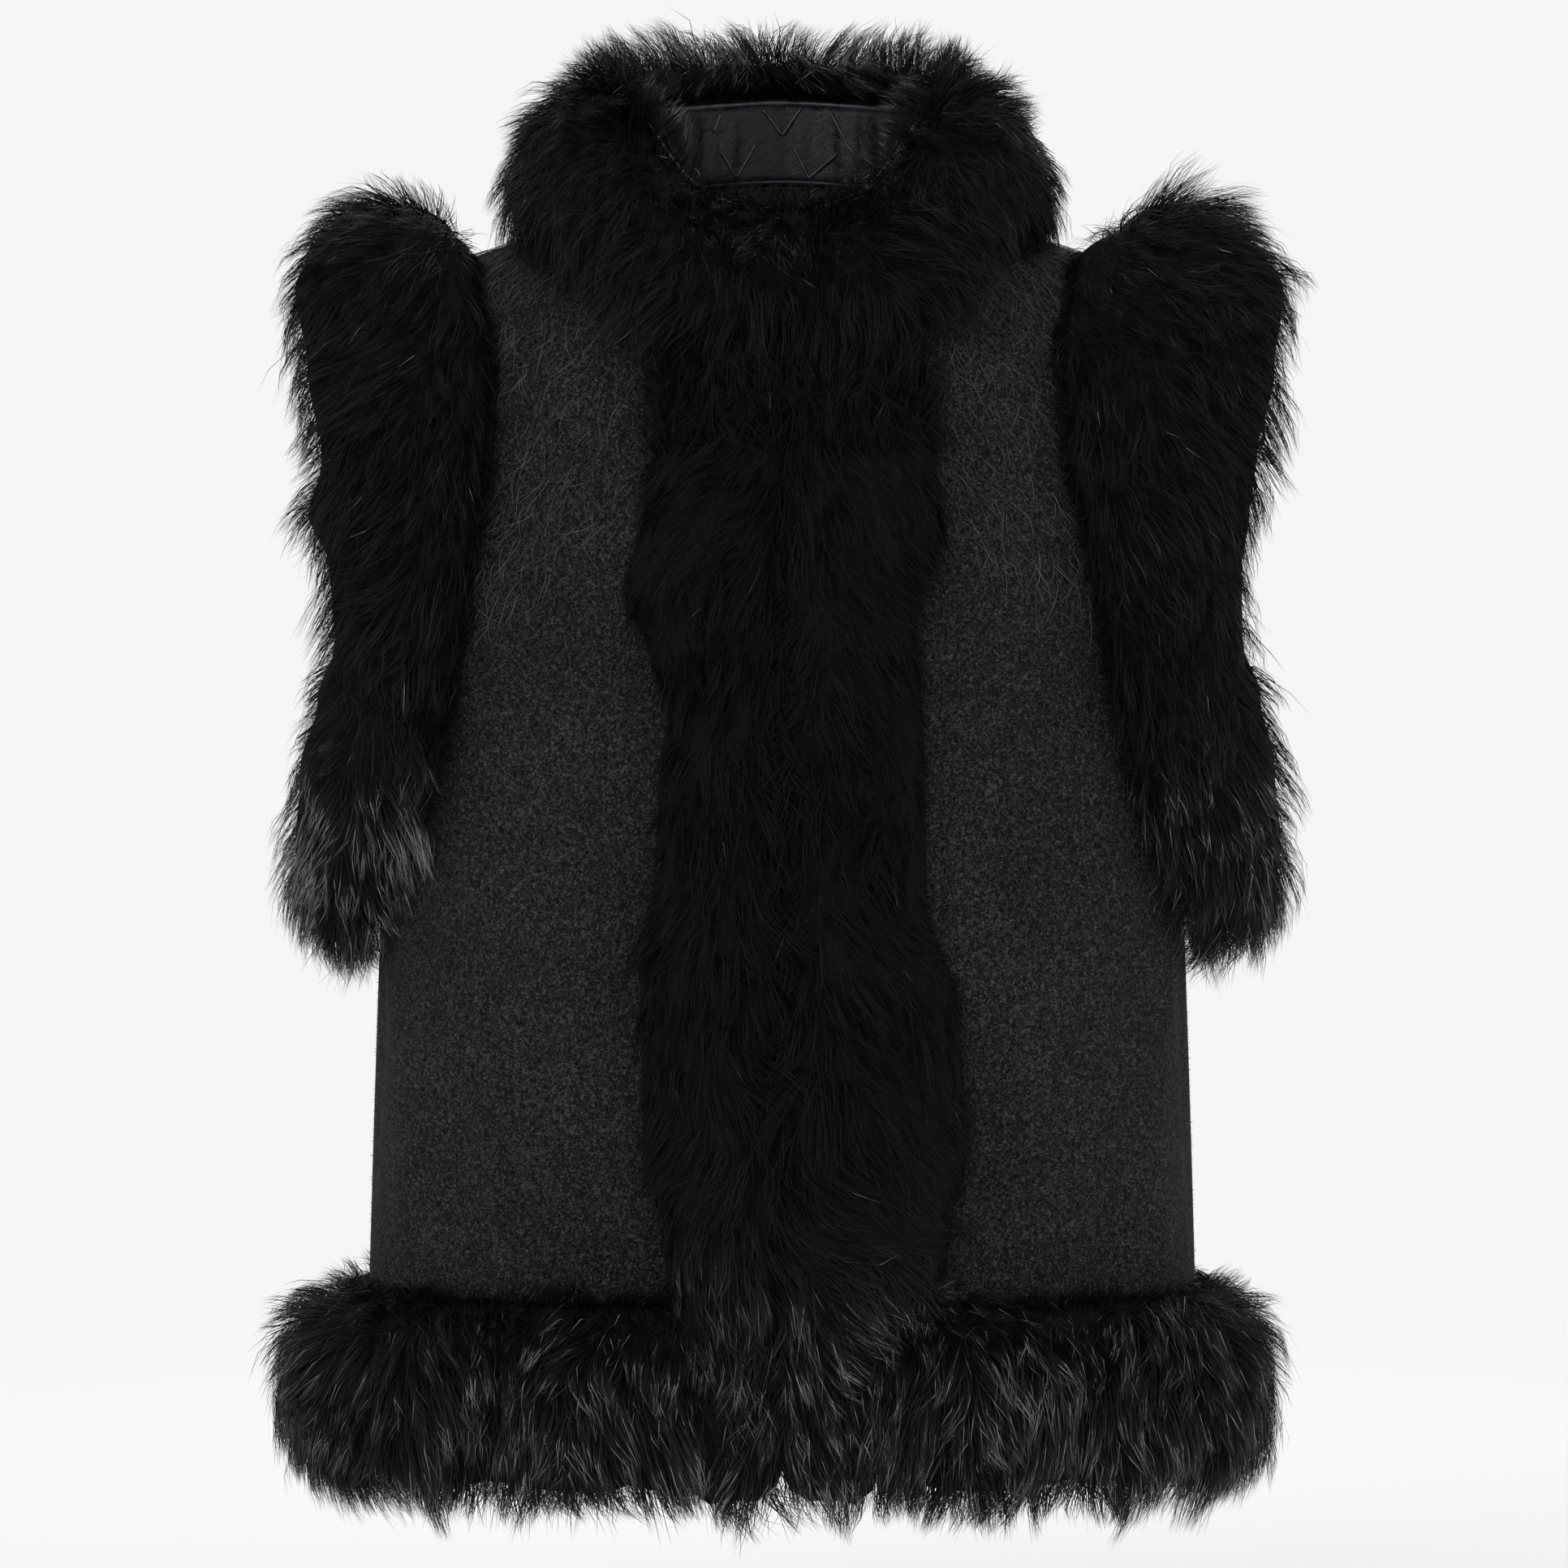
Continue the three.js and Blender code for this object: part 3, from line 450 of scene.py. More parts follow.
def nap(outer, normals, seed):
    """Brushed hairs, each a parabola that lies down the cloth, and loose ends of one triangle each."""
    rng = np.random.default_rng(seed)
    rows, columns = outer.shape[:2]

    def pick(count, low_row):
        i, j = rng.integers(low_row, rows - 1, count), rng.integers(0, columns - 1, count)
        a, b = rng.random(count), rng.random(count)
        return on_grid(outer, i, j, a, b), unit(on_grid(normals, i, j, a, b))

    place, normal = pick(NAP_HAIRS, NAP_LOW_ROW)
    size = rng.uniform(*NAP_LENGTH, NAP_HAIRS)
    sideways, upright = rng.normal(0.5, 0.6, NAP_HAIRS), np.ones(NAP_HAIRS)
    down = np.stack([sideways, 0 * upright, -upright], 1)
    down = unit(down - normal * np.sum(down * normal, -1, keepdims=True))
    bend = np.cross(down, normal) * rng.normal(0, 0.5, NAP_HAIRS)[:, None]
    s = STRAND_SHARES[None, :, None]
    curves = place[:, None] + size[:, None, None] * (down[:, None] * s + bend[:, None] * s**2 / 2)
    curves += normal[:, None] * (NAP_ARCH["root"] + NAP_ARCH["high"] * np.sin(NAP_ARCH["turn"] * s))
    hairs, faces = ribbons(curves, normal, np.full(NAP_HAIRS, NAP_WIDTH), rng.normal(0, 0.6, NAP_HAIRS))
    tone = np.repeat(rng.uniform(0.1, 0.9, NAP_HAIRS), 7)

    place, normal = pick(NAP_LOOPS, 0)
    lean = unit(np.cross(normal, rng.normal(size=(NAP_LOOPS, 3))))
    width = unit(np.cross(normal, lean)) * LOOP_HALF_WIDTH
    stand = normal * rng.uniform(0.4, 1.2, (NAP_LOOPS, 1))
    tip = place + (lean * 0.8 + stand) * rng.uniform(*LOOP_LENGTH, (NAP_LOOPS, 1))
    ends = np.stack([place - width, place + width, tip], 1).reshape(-1, 3)
    end_faces = np.arange(3 * NAP_LOOPS).reshape(-1, 3) + len(hairs)
    end_tone = np.repeat(rng.uniform(0.0, 1.0, NAP_LOOPS), 3)
    return np.concatenate([hairs, ends]), np.concatenate([faces, end_faces]), np.concatenate([tone, end_tone])


for number, (side, half) in enumerate(PANELS):
    hairs, faces, shade = nap(panel_faces(side, half)[0], body_normal(*panel_grid(half)), 40 + number)
    fuzz = add_mesh(f"{half}_{side}_nap", side, hairs, faces, [NAP], shade=shade)
    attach(fuzz, "root")


# Collar band: a strip of soft black leather that stands up from the neck seam and holds the fur. Its
# inner face is pieced from small skins, so zigzag seams run over it, and its top edge is rolled over.
LEATHER_THICK = 1.6
BAND_HEIGHT = 48
BAND_FRONT_HEIGHT = 16
BAND_STEP = {"from": 26, "to": 74}
BAND_LEAN = 0.02
BAND_INSET = 0.9
BAND_FOOT = 0.5
BAND_ROLL = 1.7
BAND_TURNS = np.linspace(-179.75, 179.75, 221)
TURN_MM = 1.45
# Puckers along the band: how deep, how many round the neck, and where they start
BAND_PUCKERS = [(0.5, 23, 1.1), (0.4, 41, 0)]
# A seam's section: shares of its half width and of its height
RIDGE = [(-1.0, 0.0), (-0.55, 0.75), (0.0, 1.0), (0.55, 0.75), (1.0, 0.0)]
RIDGE_CLEAR = 0.05
RIDGE_SUNK = 0.6
# Seams on the inner face, by turn from the centre back (positive on the wearer's left) and height share
BAND_SEAMS = [
    [(-25, 0.44), (-18.5, 0.1), (-10.5, 0.5)],
    [(-7.5, 0.92), (0, 0.6), (7.5, 0.95)],
    [(4.5, 0.45), (10.5, 0.08), (22, 0.4)],
    [(18.5, 0.95), (27, 0.5), (33, 0.34)],
    [(-28, 0.7), (-25, 0.9)],
    [(44, 0.2), (54, 0.8), (66, 0.25)],
    [(-66, 0.25), (-54, 0.8), (-44, 0.2)],
    [(82, 0.1), (95, 0.6), (108, 0.15)],
    [(-108, 0.15), (-95, 0.6), (-82, 0.1)],
]


def away_from_neck(angle):
    """Level unit vector out of the neck's oval."""
    return unit(np.stack([NECK_HALF_DEPTH * np.sin(angle), -NECK_HALF_WIDTH * np.cos(angle), 0 * angle], -1))


def band_point(angle, share, out):
    """A place at a share of the band's height, moved out: the neck seam, raised and leaning outwards."""
    x, level, back = neck_seam(angle)
    foot = body(girth_at(x, level, back), level)
    risen = smoothstep(np.degrees(angle), BAND_STEP["from"], BAND_STEP["to"])
    height = mix(BAND_FRONT_HEIGHT, BAND_HEIGHT, risen) * share
    up = np.stack([0 * height, 0 * height, height + BAND_FOOT], -1)
    return foot + away_from_neck(angle) * (out + BAND_LEAN * height)[..., None] + up


def around_neck(turn, place):
    """Places at turns from the centre back; a negative turn is on the wearer's right."""
    found = place(np.pi - np.radians(np.abs(turn)))
    found[turn < 0] *= np.array([-1, 1, 1])
    return found


def straight(controls, count):
    """Places along the straight lines through each row of controls."""
    steps = controls.shape[-2] - 1
    at = np.linspace(0, steps, count)
    i = np.minimum(at.astype(int), steps - 1)
    return mix(controls[..., i, :], controls[..., i + 1, :], (at - i)[:, None])


def seam_ridge(path, half_width, height, count):
    """A raised seam along a path of turns and heights: a low arch of five rails, closed underneath."""
    at = straight(np.array(path, float), count)
    scale = np.array([TURN_MM, BAND_HEIGHT])
    run = unit(np.gradient(at * scale, axis=0))
    sideways = np.stack([-run[:, 1], run[:, 0]], 1) * half_width

    def rail(offset, rise):
        turn, share = ((at * scale + sideways * offset) / scale).T
        inward = -BAND_INSET - LEATHER_THICK - RIDGE_CLEAR - rise * height
        return around_neck(turn, lambda angle: band_point(angle, share, inward))

    over = np.stack([rail(*shares) for shares in RIDGE], 1)
    out_of_neck = around_neck(at[:, 0], away_from_neck)[:, None]
    return wall(over, over + out_of_neck * (LEATHER_THICK * RIDGE_SUNK))


def rolled_edge(middle, out, radius, sides=8):
    """A closed tube along a line of places, its circle across the outward direction and upright."""
    roll = np.linspace(0, 2 * np.pi, sides, endpoint=False)[:, None, None]
    ring = middle + out * radius * np.cos(roll) + np.array([0, 0, radius]) * np.sin(roll)
    ids = np.arange(sides * len(middle)).reshape(sides, len(middle))
    after = np.roll(ids, -1, axis=0)
    points = np.concatenate([ring.reshape(-1, 3), middle[[0, -1]]])
    near_cap = np.stack([np.full(sides, len(points) - 2), after[:, 0], ids[:, 0]], 1)
    far_cap = np.stack([np.full(sides, len(points) - 1), ids[:, -1], after[:, -1]], 1)
    tube = triangles(cells(np.concatenate([ids, ids[:1]]), back=True))
    return points, facing_out(points, np.concatenate([tube, near_cap, far_cap]))


def band_grid(out):
    """The band's outer or inner face, with soft puckers along it."""
    turns = np.radians(BAND_TURNS)
    pucker = sum(deep * np.sin(turns * times + start) for deep, times, start in BAND_PUCKERS)

    def row(share):
        moved = out + pucker * np.sin(np.pi * share)
        return around_neck(BAND_TURNS, lambda angle: band_point(angle, share, moved))

    return np.stack([row(share) for share in np.linspace(0, 1, 9)])


def leather_material():
    """Fine pebbled grain over soft creases, glossier in the hollows, and darker there as painted shade."""
    creases = {"Scale": 110.0, "Detail": 4.0, "Roughness": 0.55, "Distortion": 0.8}
    # Painted shade: the colour follows the creases' bump and is darkest in its hollows
    stops = [(0.35, (0.0012, 0.0014, 0.0021)), (0.7, (0.0072, 0.0085, 0.0115))]
    reliefs = [("noise", 0.6, 0.0016), ("grains", 0.4, 0.0003)]
    colour = (0.006, 0.006, 0.008)
    made, shader, grey, _ = speckled("leather", colour, 0.4, 0.2, creases, stops, reliefs, 1100.0)
    gloss = ramp(made, grey, [(0.3, (0.28, 0.28, 0.28)), (0.75, (0.56, 0.56, 0.56))])
    feed(made, shader.inputs["Roughness"], gloss)
    return made


def joined(parts):
    """Places and triangles of several meshes as one."""
    start = np.cumsum([0] + [len(points) for points, _ in parts])
    points = np.concatenate([points for points, _ in parts])
    return points, np.concatenate([faces + first for (_, faces), first in zip(parts, start)])


outer, inner = band_grid(-BAND_INSET), band_grid(-BAND_INSET - LEATHER_THICK)
top_edge = (outer[-1] + inner[-1]) / 2
band_parts = [wall(outer, inner), rolled_edge(top_edge, around_neck(BAND_TURNS, away_from_neck), BAND_ROLL)]
band_parts += [seam_ridge(path, 1.1, 1.5, 20) for path in BAND_SEAMS]
band_parts.append(seam_ridge([(-150, 0.03), (150, 0.03)], 0.9, 1.0, 160))
points, faces = joined(band_parts)
raised = (np.arange(len(faces)) >= len(band_parts[0][1])).astype(int)
# The same leather where it stands up along the seams and the roll: smoother, and paler as painted highlight,
# standing for the light these raised lines catch
SEAM_NOISE = {"Scale": 160.0, "Detail": 3.0, "Roughness": 0.6}
# Painted highlight: these tones make the raised seams and the roll paler than the band
SEAM_HIGHLIGHT_TONES = [(0.35, (0.006, 0.0066, 0.008)), (0.7, (0.034, 0.036, 0.041))]
SEAM_HIGHLIGHT_COLOUR = (0.02, 0.022, 0.026)
seam_highlight_leather = speckled("leather_with_painted_highlight", SEAM_HIGHLIGHT_COLOUR, 0.34, 0.45, SEAM_NOISE, SEAM_HIGHLIGHT_TONES, [("noise", 0.4, 0.0006)])[0]
leathers = [leather_material(), seam_highlight_leather]
band = add_mesh("collar_band_leather", "left", points, faces, leathers, raised)
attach(band, "root")
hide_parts("collar_band")


# Collar fur: long black fur on its hide, sewn to the outside of the band. It stands up, rolls over
# outwards in tufts and lies on the shoulders, the back and the tops of the front strips.
TUFT = {"skew": 0.7, "round": 0.6}
COLLAR_LIP = {"sideways": 62, "front": 74, "front_centre": 46, "back": 53}
COLLAR_RISE = {"front": 22, "back": 92}
COLLAR_LEAN = 8
COLLAR_ROLL = {"side": 56, "front": 72, "away": 19}
COLLAR_BULGE = {"right": 0.98, "left": 0.9}
COLLAR_TUFT = {"turn": 33, "phase": 0.15, "least": 0.9, "deep": 0.14}
COLLAR_CLEAR = 2
COLLAR_LIP_THICK = 4
COLLAR_LAP = 2
COLLAR_TURNS = np.linspace(-179.75, 179.75, 145)


def tuft(along, length, phase):
    """Rounded swellings down a strip: 0 at a parting and 1 at the fullest, a skewed sine."""
    share = (along / length + phase) % 1
    return np.sin(np.pi * share ** TUFT["skew"]) ** TUFT["round"]


def bezier(p0, p1, p2, p3, count):
    """Points of a cubic through p0 and p3, drawn towards p1 and p2."""
    t = np.linspace(0, 1, count)[:, None]
    p0, p1, p2, p3 = (p[:, None] for p in (p0, p1, p2, p3))
    return (1 - t) ** 3 * p0 + 3 * (1 - t) ** 2 * t * p1 + 3 * (1 - t) * t**2 * p2 + t**3 * p3


def collar_sections(turn):
    """The hair's outline, from the band's top over to its lip on the cloth, and the hide under it."""
    angle = np.pi - np.radians(np.abs(turn))
    bulge = np.where(turn < 0, COLLAR_BULGE["right"], COLLAR_BULGE["left"])
    x, neck_level, back = neck_seam(angle)
    front_turn = angle / NECK_SHOULDER_ANGLE
    turned = np.where(back, (np.pi - angle) / (np.pi - NECK_SHOULDER_ANGLE), front_turn)
    sideways, down = np.sin(turned * np.pi / 2), np.cos(turned * np.pi / 2)
    frontness = np.where(back, 0, 1 - turned)
    front_drop = mix(COLLAR_LIP["front"], COLLAR_LIP["front_centre"], frontness**2)
    drop = np.where(back, COLLAR_LIP["back"], front_drop)

    def under(share):
        return x + COLLAR_LIP["sideways"] * share * sideways, neck_level - drop * share * down

    def off(share, out):
        at_x, level = under(share)
        return off_body(girth_at(at_x, level, back), level, out)

    away = away_from_neck(angle)
    tufts = tuft(np.degrees(angle), COLLAR_TUFT["turn"], COLLAR_TUFT["phase"])
    swell = COLLAR_TUFT["least"] + COLLAR_TUFT["deep"] * tufts
    rise = mix(COLLAR_RISE["front"], COLLAR_RISE["back"], (1 - np.cos(angle)) / 2) * swell
    roll = mix(COLLAR_ROLL["side"], COLLAR_ROLL["front"], frontness) * swell * bulge
    crest = band_point(angle, 1, 0.2)
    tail = off(1, COLLAR_CLEAR + COLLAR_LIP_THICK)
    end_x, end_level = under(1)
    end_normal = body_normal(girth_at(end_x, end_level, back), end_level)
    up = np.array([0, 0, 1.0])
    stand = crest + away * COLLAR_LEAN + up * rise[:, None]
    over = tail + end_normal * roll[:, None] + away * (COLLAR_ROLL["away"] * bulge**3)[:, None]
    hair = bezier(crest + up, stand, over, tail, 29)
    coat = np.concatenate([hair, off(1, COLLAR_CLEAR)[:, None]], 1)
    hide = [crest, band_point(angle, 0.5, 0), band_point(angle, 0.08, 0)]
    hide += [off(share, COLLAR_CLEAR) for share in (0.04, 0.33, 0.66, 1)]
    hide = straight(np.stack(hide, 1), coat.shape[1])
    to_side = np.where(turn < 0, -1, 1)[:, None, None] * np.array([1, 0, 0]) + np.array([0, 1, 1])
    coat, hide = coat * to_side, hide * to_side
    for ends in (coat, hide):
        ends[[0, -1], :, 0] += np.array([[COLLAR_LAP], [-COLLAR_LAP]])
    return coat, hide


def coat_frame(coat, hide):
    """Outward normals and unit directions along both ways of a coat's grid, with its cells' areas."""
    along, across = np.gradient(coat, axis=0), np.gradient(coat, axis=1)
    normals = np.cross(along, across)
    if np.sum(normals * (coat - hide.mean(axis=1, keepdims=True))) < 0:
        normals = -normals
    return unit(normals), unit(along), unit(across), np.linalg.norm(normals, axis=-1)


def waves(points, size, seed):
    """Smooth noise from -1 to 1: six plane waves about twice size long, in random directions."""
    rng = np.random.default_rng(seed)
    total = 0
    for _ in range(6):
        direction = unit(rng.normal(size=3)) * rng.uniform(0.7, 1.5) * np.pi / size
        total = total + np.sin(points @ direction + rng.uniform(0, 2 * np.pi))
    return np.clip(total / 3, -1, 1)


def nearest_of_first(points, count):
    """For each point, which of the first count points lies nearest."""
    tree = kdtree.KDTree(count)
    for k in range(count):
        tree.insert(points[k], k)
    tree.balance()
    return np.array([tree.find(point)[1] for point in points])


HAIR_WIDTH = 0.46
TUFT_SIZE = 30.0
# How much hairs differ one by one, and lock by lock
SPREAD = {"length": (0.1, 0.12), "lift": (8, 14), "turn": (9, 15), "tone": (0.22, 0.07)}
# How much they change in waves over the strip, and half the length of these in mm
SWELL = {"length": (0.3, 22), "turn": (26, 38), "tone": (0.12, 70)}
LENGTH_LIMITS = (0.5, 1.45)
LIFT_LIMITS = (-8, 88)
# A hair turns to follow the coat at this share of its length ahead
AHEAD = 0.8
STRAYS = 0.16
# The pull towards a lock's and a tuft's leader: on stray hairs and on others, its power along the
# hair, and how much closer the tips lie
LOCK = {"stray": 0.25, "others": (0.6, 0.95), "power": 1.3, "closer": 0.8}
TUFT_LEAN = {"stray": 0.1, "others": 0.42, "power": 1.5, "closer": 0.45}
FRIZZ = np.array([0, 0.45, 0.8, 1.3])
# Painted highlight: the share of hairs painted pale to stand for glints of light, everywhere and more where
# the fur is pale, and their tone
PAINTED_GLINTS = {"least": 0.0009, "pale": 0.022, "tone": (0.8, 1.0)}
# What a ribbon's places, from root to tip, have of its tone
FADE = np.array([0.25, 0.25, 0.65, 0.65, 1.1, 1.1, 1.25])


def grow(coat, hide, count, flow, length, lift, droop, tone, seed, where=None, sunk=9, lock=7.5, curl=0.6):
    """Ribbons and shades of hair over a coat.

    flow gives how much the hair runs along and across the coat's grid, length its length, lift the
    angle in degrees at which it leaves the coat, droop how much its end hangs, and tone how pale it
    is: numbers, or by v, the share across the coat, and p, the place. where weighs how thickly it
    grows, by the shares along and across. A hair is a parabola from its root, sunk under the coat,
    and curl is the share by which it turns to follow the coat. Hairs share most of their way with
    the leader of their lock, and locks lean towards the leader of their tuft.
    """
    rng = np.random.default_rng(seed)
    normals, along, across, areas = coat_frame(coat, hide)
    rows, columns = coat.shape[:2]
    chance = areas[:-1, :-1]
    if where is not None:
        u, v = np.meshgrid(np.linspace(0, 1, rows - 1), np.linspace(0, 1, columns - 1), indexing="ij")
        chance = chance * where(u, v)
    i, j = np.divmod(rng.choice(chance.size, count, p=chance.ravel() / chance.sum()), columns - 1)
    a, b = rng.random(count), rng.random(count)
    root = (i, j, a, b)
    place, normal = on_grid(coat, *root), unit(on_grid(normals, *root))
    v = (j + b) / (columns - 1)
    leaders = int(np.clip(chance.sum() / lock**2, 12, count // 6))
    heads = int(np.clip(chance.sum() / TUFT_SIZE**2, 3, leaders))
    owner, head = nearest_of_first(place, leaders), nearest_of_first(place, heads)

    def here(value):
        return value(v, place) if callable(value) else np.full(count, value)

    def wander(what):
        each, shared = SPREAD[what]
        return rng.normal(0, each, count) + rng.normal(0, shared, leaders)[owner]

    def swell(what, step):
        much, size = SWELL[what]
        return much * waves(place, size, seed + step)

    size = here(length) * np.clip(1 + wander("length") + swell("length", 3), *LENGTH_LIMITS)
    rise = np.radians(np.clip(here(lift) + wander("lift"), *LIFT_LIMITS))
    turn = np.radians(wander("turn") + swell("turn", 1))
    run = np.stack(np.broadcast_arrays(*flow(v, place, on_grid(along, *root), on_grid(across, *root))))
    run_u, run_v = run / (np.hypot(*run) + 1e-9)
    run_u, run_v = run_u * np.cos(turn) - run_v * np.sin(turn), run_u * np.sin(turn) + run_v * np.cos(turn)

    step_u, step_v = (np.linalg.norm(np.diff(coat, axis=way), axis=-1).mean() for way in (0, 1))
    ahead_i = np.clip(i + a + run_u * AHEAD * size / step_u, 0, rows - 1.001)
    ahead_j = np.clip(j + b + run_v * AHEAD * size / step_v, 0, columns - 1.001)
    ahead = (ahead_i.astype(int), ahead_j.astype(int), ahead_i % 1, ahead_j % 1)

    def heading(cells):
        return unit(on_grid(along, *cells) * run_u[:, None] + on_grid(across, *cells) * run_v[:, None])

    start = unit(heading(root) * np.cos(rise)[:, None] + normal * np.sin(rise)[:, None])
    follow = unit(heading(ahead) + on_grid(normals, *ahead) * (0.1 + 0.35 * np.sin(rise))[:, None])
    finish = unit(mix(start, follow, curl) - here(droop)[:, None] * np.array([0, 0, 1]))
    s = STRAND_SHARES[None, :, None]
    foot = place - normal * (sunk * rng.uniform(0.6, 1.1, count))[:, None]
    curves = foot[:, None] + size[:, None, None] * (start[:, None] * s + (finish - start)[:, None] * s**2 / 2)

    stray = rng.random(count) < STRAYS
    pull = np.where(stray, LOCK["stray"], rng.uniform(*LOCK["others"], count))
    lean = np.where(stray, TUFT_LEAN["stray"], TUFT_LEAN["others"])
    for leader, much, how in ((owner, pull, LOCK), (head, lean, TUFT_LEAN)):
        beside = curves[leader] + (place - place[leader])[:, None] * (1 - how["closer"] * s)
        curves = mix(curves, beside, much[:, None, None] * s ** how["power"])
    curves += rng.normal(0, 1, (count, 4, 3)) * FRIZZ[:, None]

    pale = here(tone) * (1 + wander("tone") + swell("tone", 2))
    # Painted highlight: a few hairs are painted pale as glints
    glinting = rng.random(count) < PAINTED_GLINTS["least"] + PAINTED_GLINTS["pale"] * smoothstep(pale, 0.5, 0.9)
    pale = np.where(glinting, rng.uniform(*PAINTED_GLINTS["tone"], count), pale)
    widths = HAIR_WIDTH * rng.uniform(0.6, 1.35, count)
    hairs, faces = ribbons(curves, normal, widths, np.radians(rng.normal(0, 38, count)))
    return hairs, faces, np.clip(pale[:, None] * FADE, 0, 1).ravel()


# Underfur: the short dense fur under the long hair, streaked and nearly black
STREAKS = {"Scale": 420.0, "Detail": 5.0, "Roughness": 0.7}
STREAK_TONES = [(0.3, (0.0018, 0.0018, 0.0018)), (0.75, (0.007, 0.0066, 0.0064))]
UNDERFUR_COLOUR = (0.002, 0.002, 0.002)
STREAK_RELIEF = [("noise", 1.0, 0.002)]
UNDERFUR = speckled("underfur", UNDERFUR_COLOUR, 0.85, 0.1, STREAKS, STREAK_TONES, STREAK_RELIEF)[0]
# Fur colour by shade from root to tip; its palest stop is mostly reached by the hairs painted pale as glints,
# a painted highlight
FUR_TONES = [
    (0.0, (0.0012, 0.0012, 0.0012)),
    (0.4, (0.0032, 0.0030, 0.0029)),
    (0.8, (0.0125, 0.0118, 0.0108)),
    (0.94, (0.030, 0.029, 0.027)),
    (1.0, (0.19, 0.187, 0.18)),
]
FUR = hair_material("fur", FUR_TONES, roughness=0.5, specular=0.09)
CORE_ROUND = {"edges": 0.35, "ends": 0.12}


def fur_piece(node, side, coat, hide, under, groups, first=0.0):
    """One strip: a closed body of dense fur, sunk under the coat, and the groups of hair that cover it.

    first is where on a half sine the sinking starts, from 0, none at the coat's first edge, to 0.5.
    """
    normals = coat_frame(coat, hide)[0]
    rows, columns = coat.shape[:2]
    edge = np.sin(np.pi * np.linspace(first, 1, columns)) ** CORE_ROUND["edges"]
    ends = np.sin(np.pi * np.linspace(0.02, 0.98, rows)) ** CORE_ROUND["ends"]
    core = coat - normals * (under * edge[None, :] * ends[:, None])[..., None]
    thin = np.unique(np.append(np.arange(0, rows, 2), rows - 1))
    parts = [wall(core[thin], hide[thin])]
    shades = [np.zeros(len(parts[0][0]))]
    for group in groups:
        hairs, faces, shade = grow(coat, hide, **group)
        parts.append((hairs, faces))
        shades.append(shade)
    points, faces = joined(parts)
    slots = (np.arange(len(faces)) >= len(parts[0][1])).astype(int)
    piece = add_mesh(f"{node}_hair", side, points, faces, [UNDERFUR, FUR], slots, np.concatenate(shades))
    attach(piece, "root")
    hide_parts(node)


def towards(x, z, along, across):
    """How much a direction, given out from the centre line and up, runs along and across the grid."""
    return x * along[:, 0] + z * along[:, 2], x * across[:, 0] + z * across[:, 2]


def collar_flow(v, p, along, across):
    """Over the band and outwards, swept a little downwards and to the sides."""
    run_u, run_v = towards(np.sign(p[:, 0]) * 0.35, -0.5, along, across)
    return 0.5 * run_u + 0.22 * waves(p, 60, 5), 1 + 0.4 * run_v


def collar_corner(v, p):
    """1 on the collar's upper corners, where the hair lies lower, to 0 at its back, front and edge."""
    return smoothstep(np.abs(p[:, 0]), 55, 115) * smoothstep(-v, -0.8, -0.5)


def front_crest(v, p):
    """1 on the crest in front of the neck, low enough to look over at the band, to 0 elsewhere."""
    return smoothstep(-p[:, 1], 80, 97) * smoothstep(-v, -0.45, -0.25)


def collar_short(v, p):
    """The share by which hair is shorter: at the corners, the front crest and over the shoulders."""
    side = smoothstep(np.abs(p[:, 0]), 95, 140) * smoothstep(v, 0.4, 0.6)
    return 0.3 * collar_corner(v, p) + 0.45 * front_crest(v, p) + mix(0.24, 0.4, p[:, 0] > 0) * side


def collar_lift(v):
    """Low up the band, high over its top, and lower again towards the collar's edge."""
    return mix(mix(52, 80, smoothstep(v, 0.04, 0.2)), 28, smoothstep(v, 0.2, 0.8))


def painted_light_over_band(v, p):
    """1 on the face right over the band near the centre back and the centre front, 0 elsewhere: where hair
    that lies in shade is painted paler, as painted light.
    """
    return (v < 0.14) * smoothstep(-np.abs(p[:, 0]), -75, -40)


coat, hide = collar_sections(COLLAR_TURNS)
fur_piece("collar_fur", "left", coat, hide, 7.0, [
    {
        "count": 27800, "seed": 11, "flow": collar_flow, "curl": 0.5,
        "length": lambda v, p: mix(38, 44, smoothstep(v, 0.1, 0.7)) * (1 - collar_short(v, p)),
        "lift": lambda v, p: collar_lift(v) * (1 - 0.55 * collar_corner(v, p) - 0.45 * front_crest(v, p)),
        "droop": lambda v, p: mix(0.05, 0.6, smoothstep(v, 0.45, 0.9)),
        # Painted light: the hair over the band lies in shade and is painted paler there
        "tone": lambda v, p: mix(0.58, 0.45, smoothstep(-p[:, 1], 20, 120)) + 0.24 * painted_light_over_band(v, p),
        "where": lambda u, v: 1 + 0.6 * (v < 0.3),
    },
    {
        "count": 3500, "seed": 12, "sunk": 4, "curl": 0.3, "lift": 84, "droop": 0.1,
        "flow": lambda v, p, along, across: (0.5 * waves(p, 30, 6), 1),
        "length": lambda v, p: 26 - 14 * front_crest(v, p),
        "tone": lambda v, p: 0.65 - 0.35 * front_crest(v, p),
        "where": lambda u, v: v < 0.06,
    },
])


# Front strips: two strips of the same fur continue the fronts from the cloth's edge to the centre
# line, where their hair meets. They run from under the collar down past the hem.
LIE_OFF = 1.2
STRIP_DEPTH = 44
STRIP_TOP_LEVEL = 26.5
STRIP_TOP_EASE = 14
STRIP_CROWN = {"wide": 84, "square": 2.6, "round": 0.6}
STRIP_VALLEY = {"half_width": 30, "deep": 0.14}
STRIP_LAP = -2
STRIP_TUFT = {"left": 150, "right": 135, "phase": 0.3, "deep": 6, "least": -3}
STRIP_END_DEPTH = 0.45
STRIP_WIDENS = (-612, -596)
STRIP_ROWS = {"foot": 26, "body": 110, "across": 27}
HEM_LIP_Z = -599
HAIR_BOTTOM_Z = -713
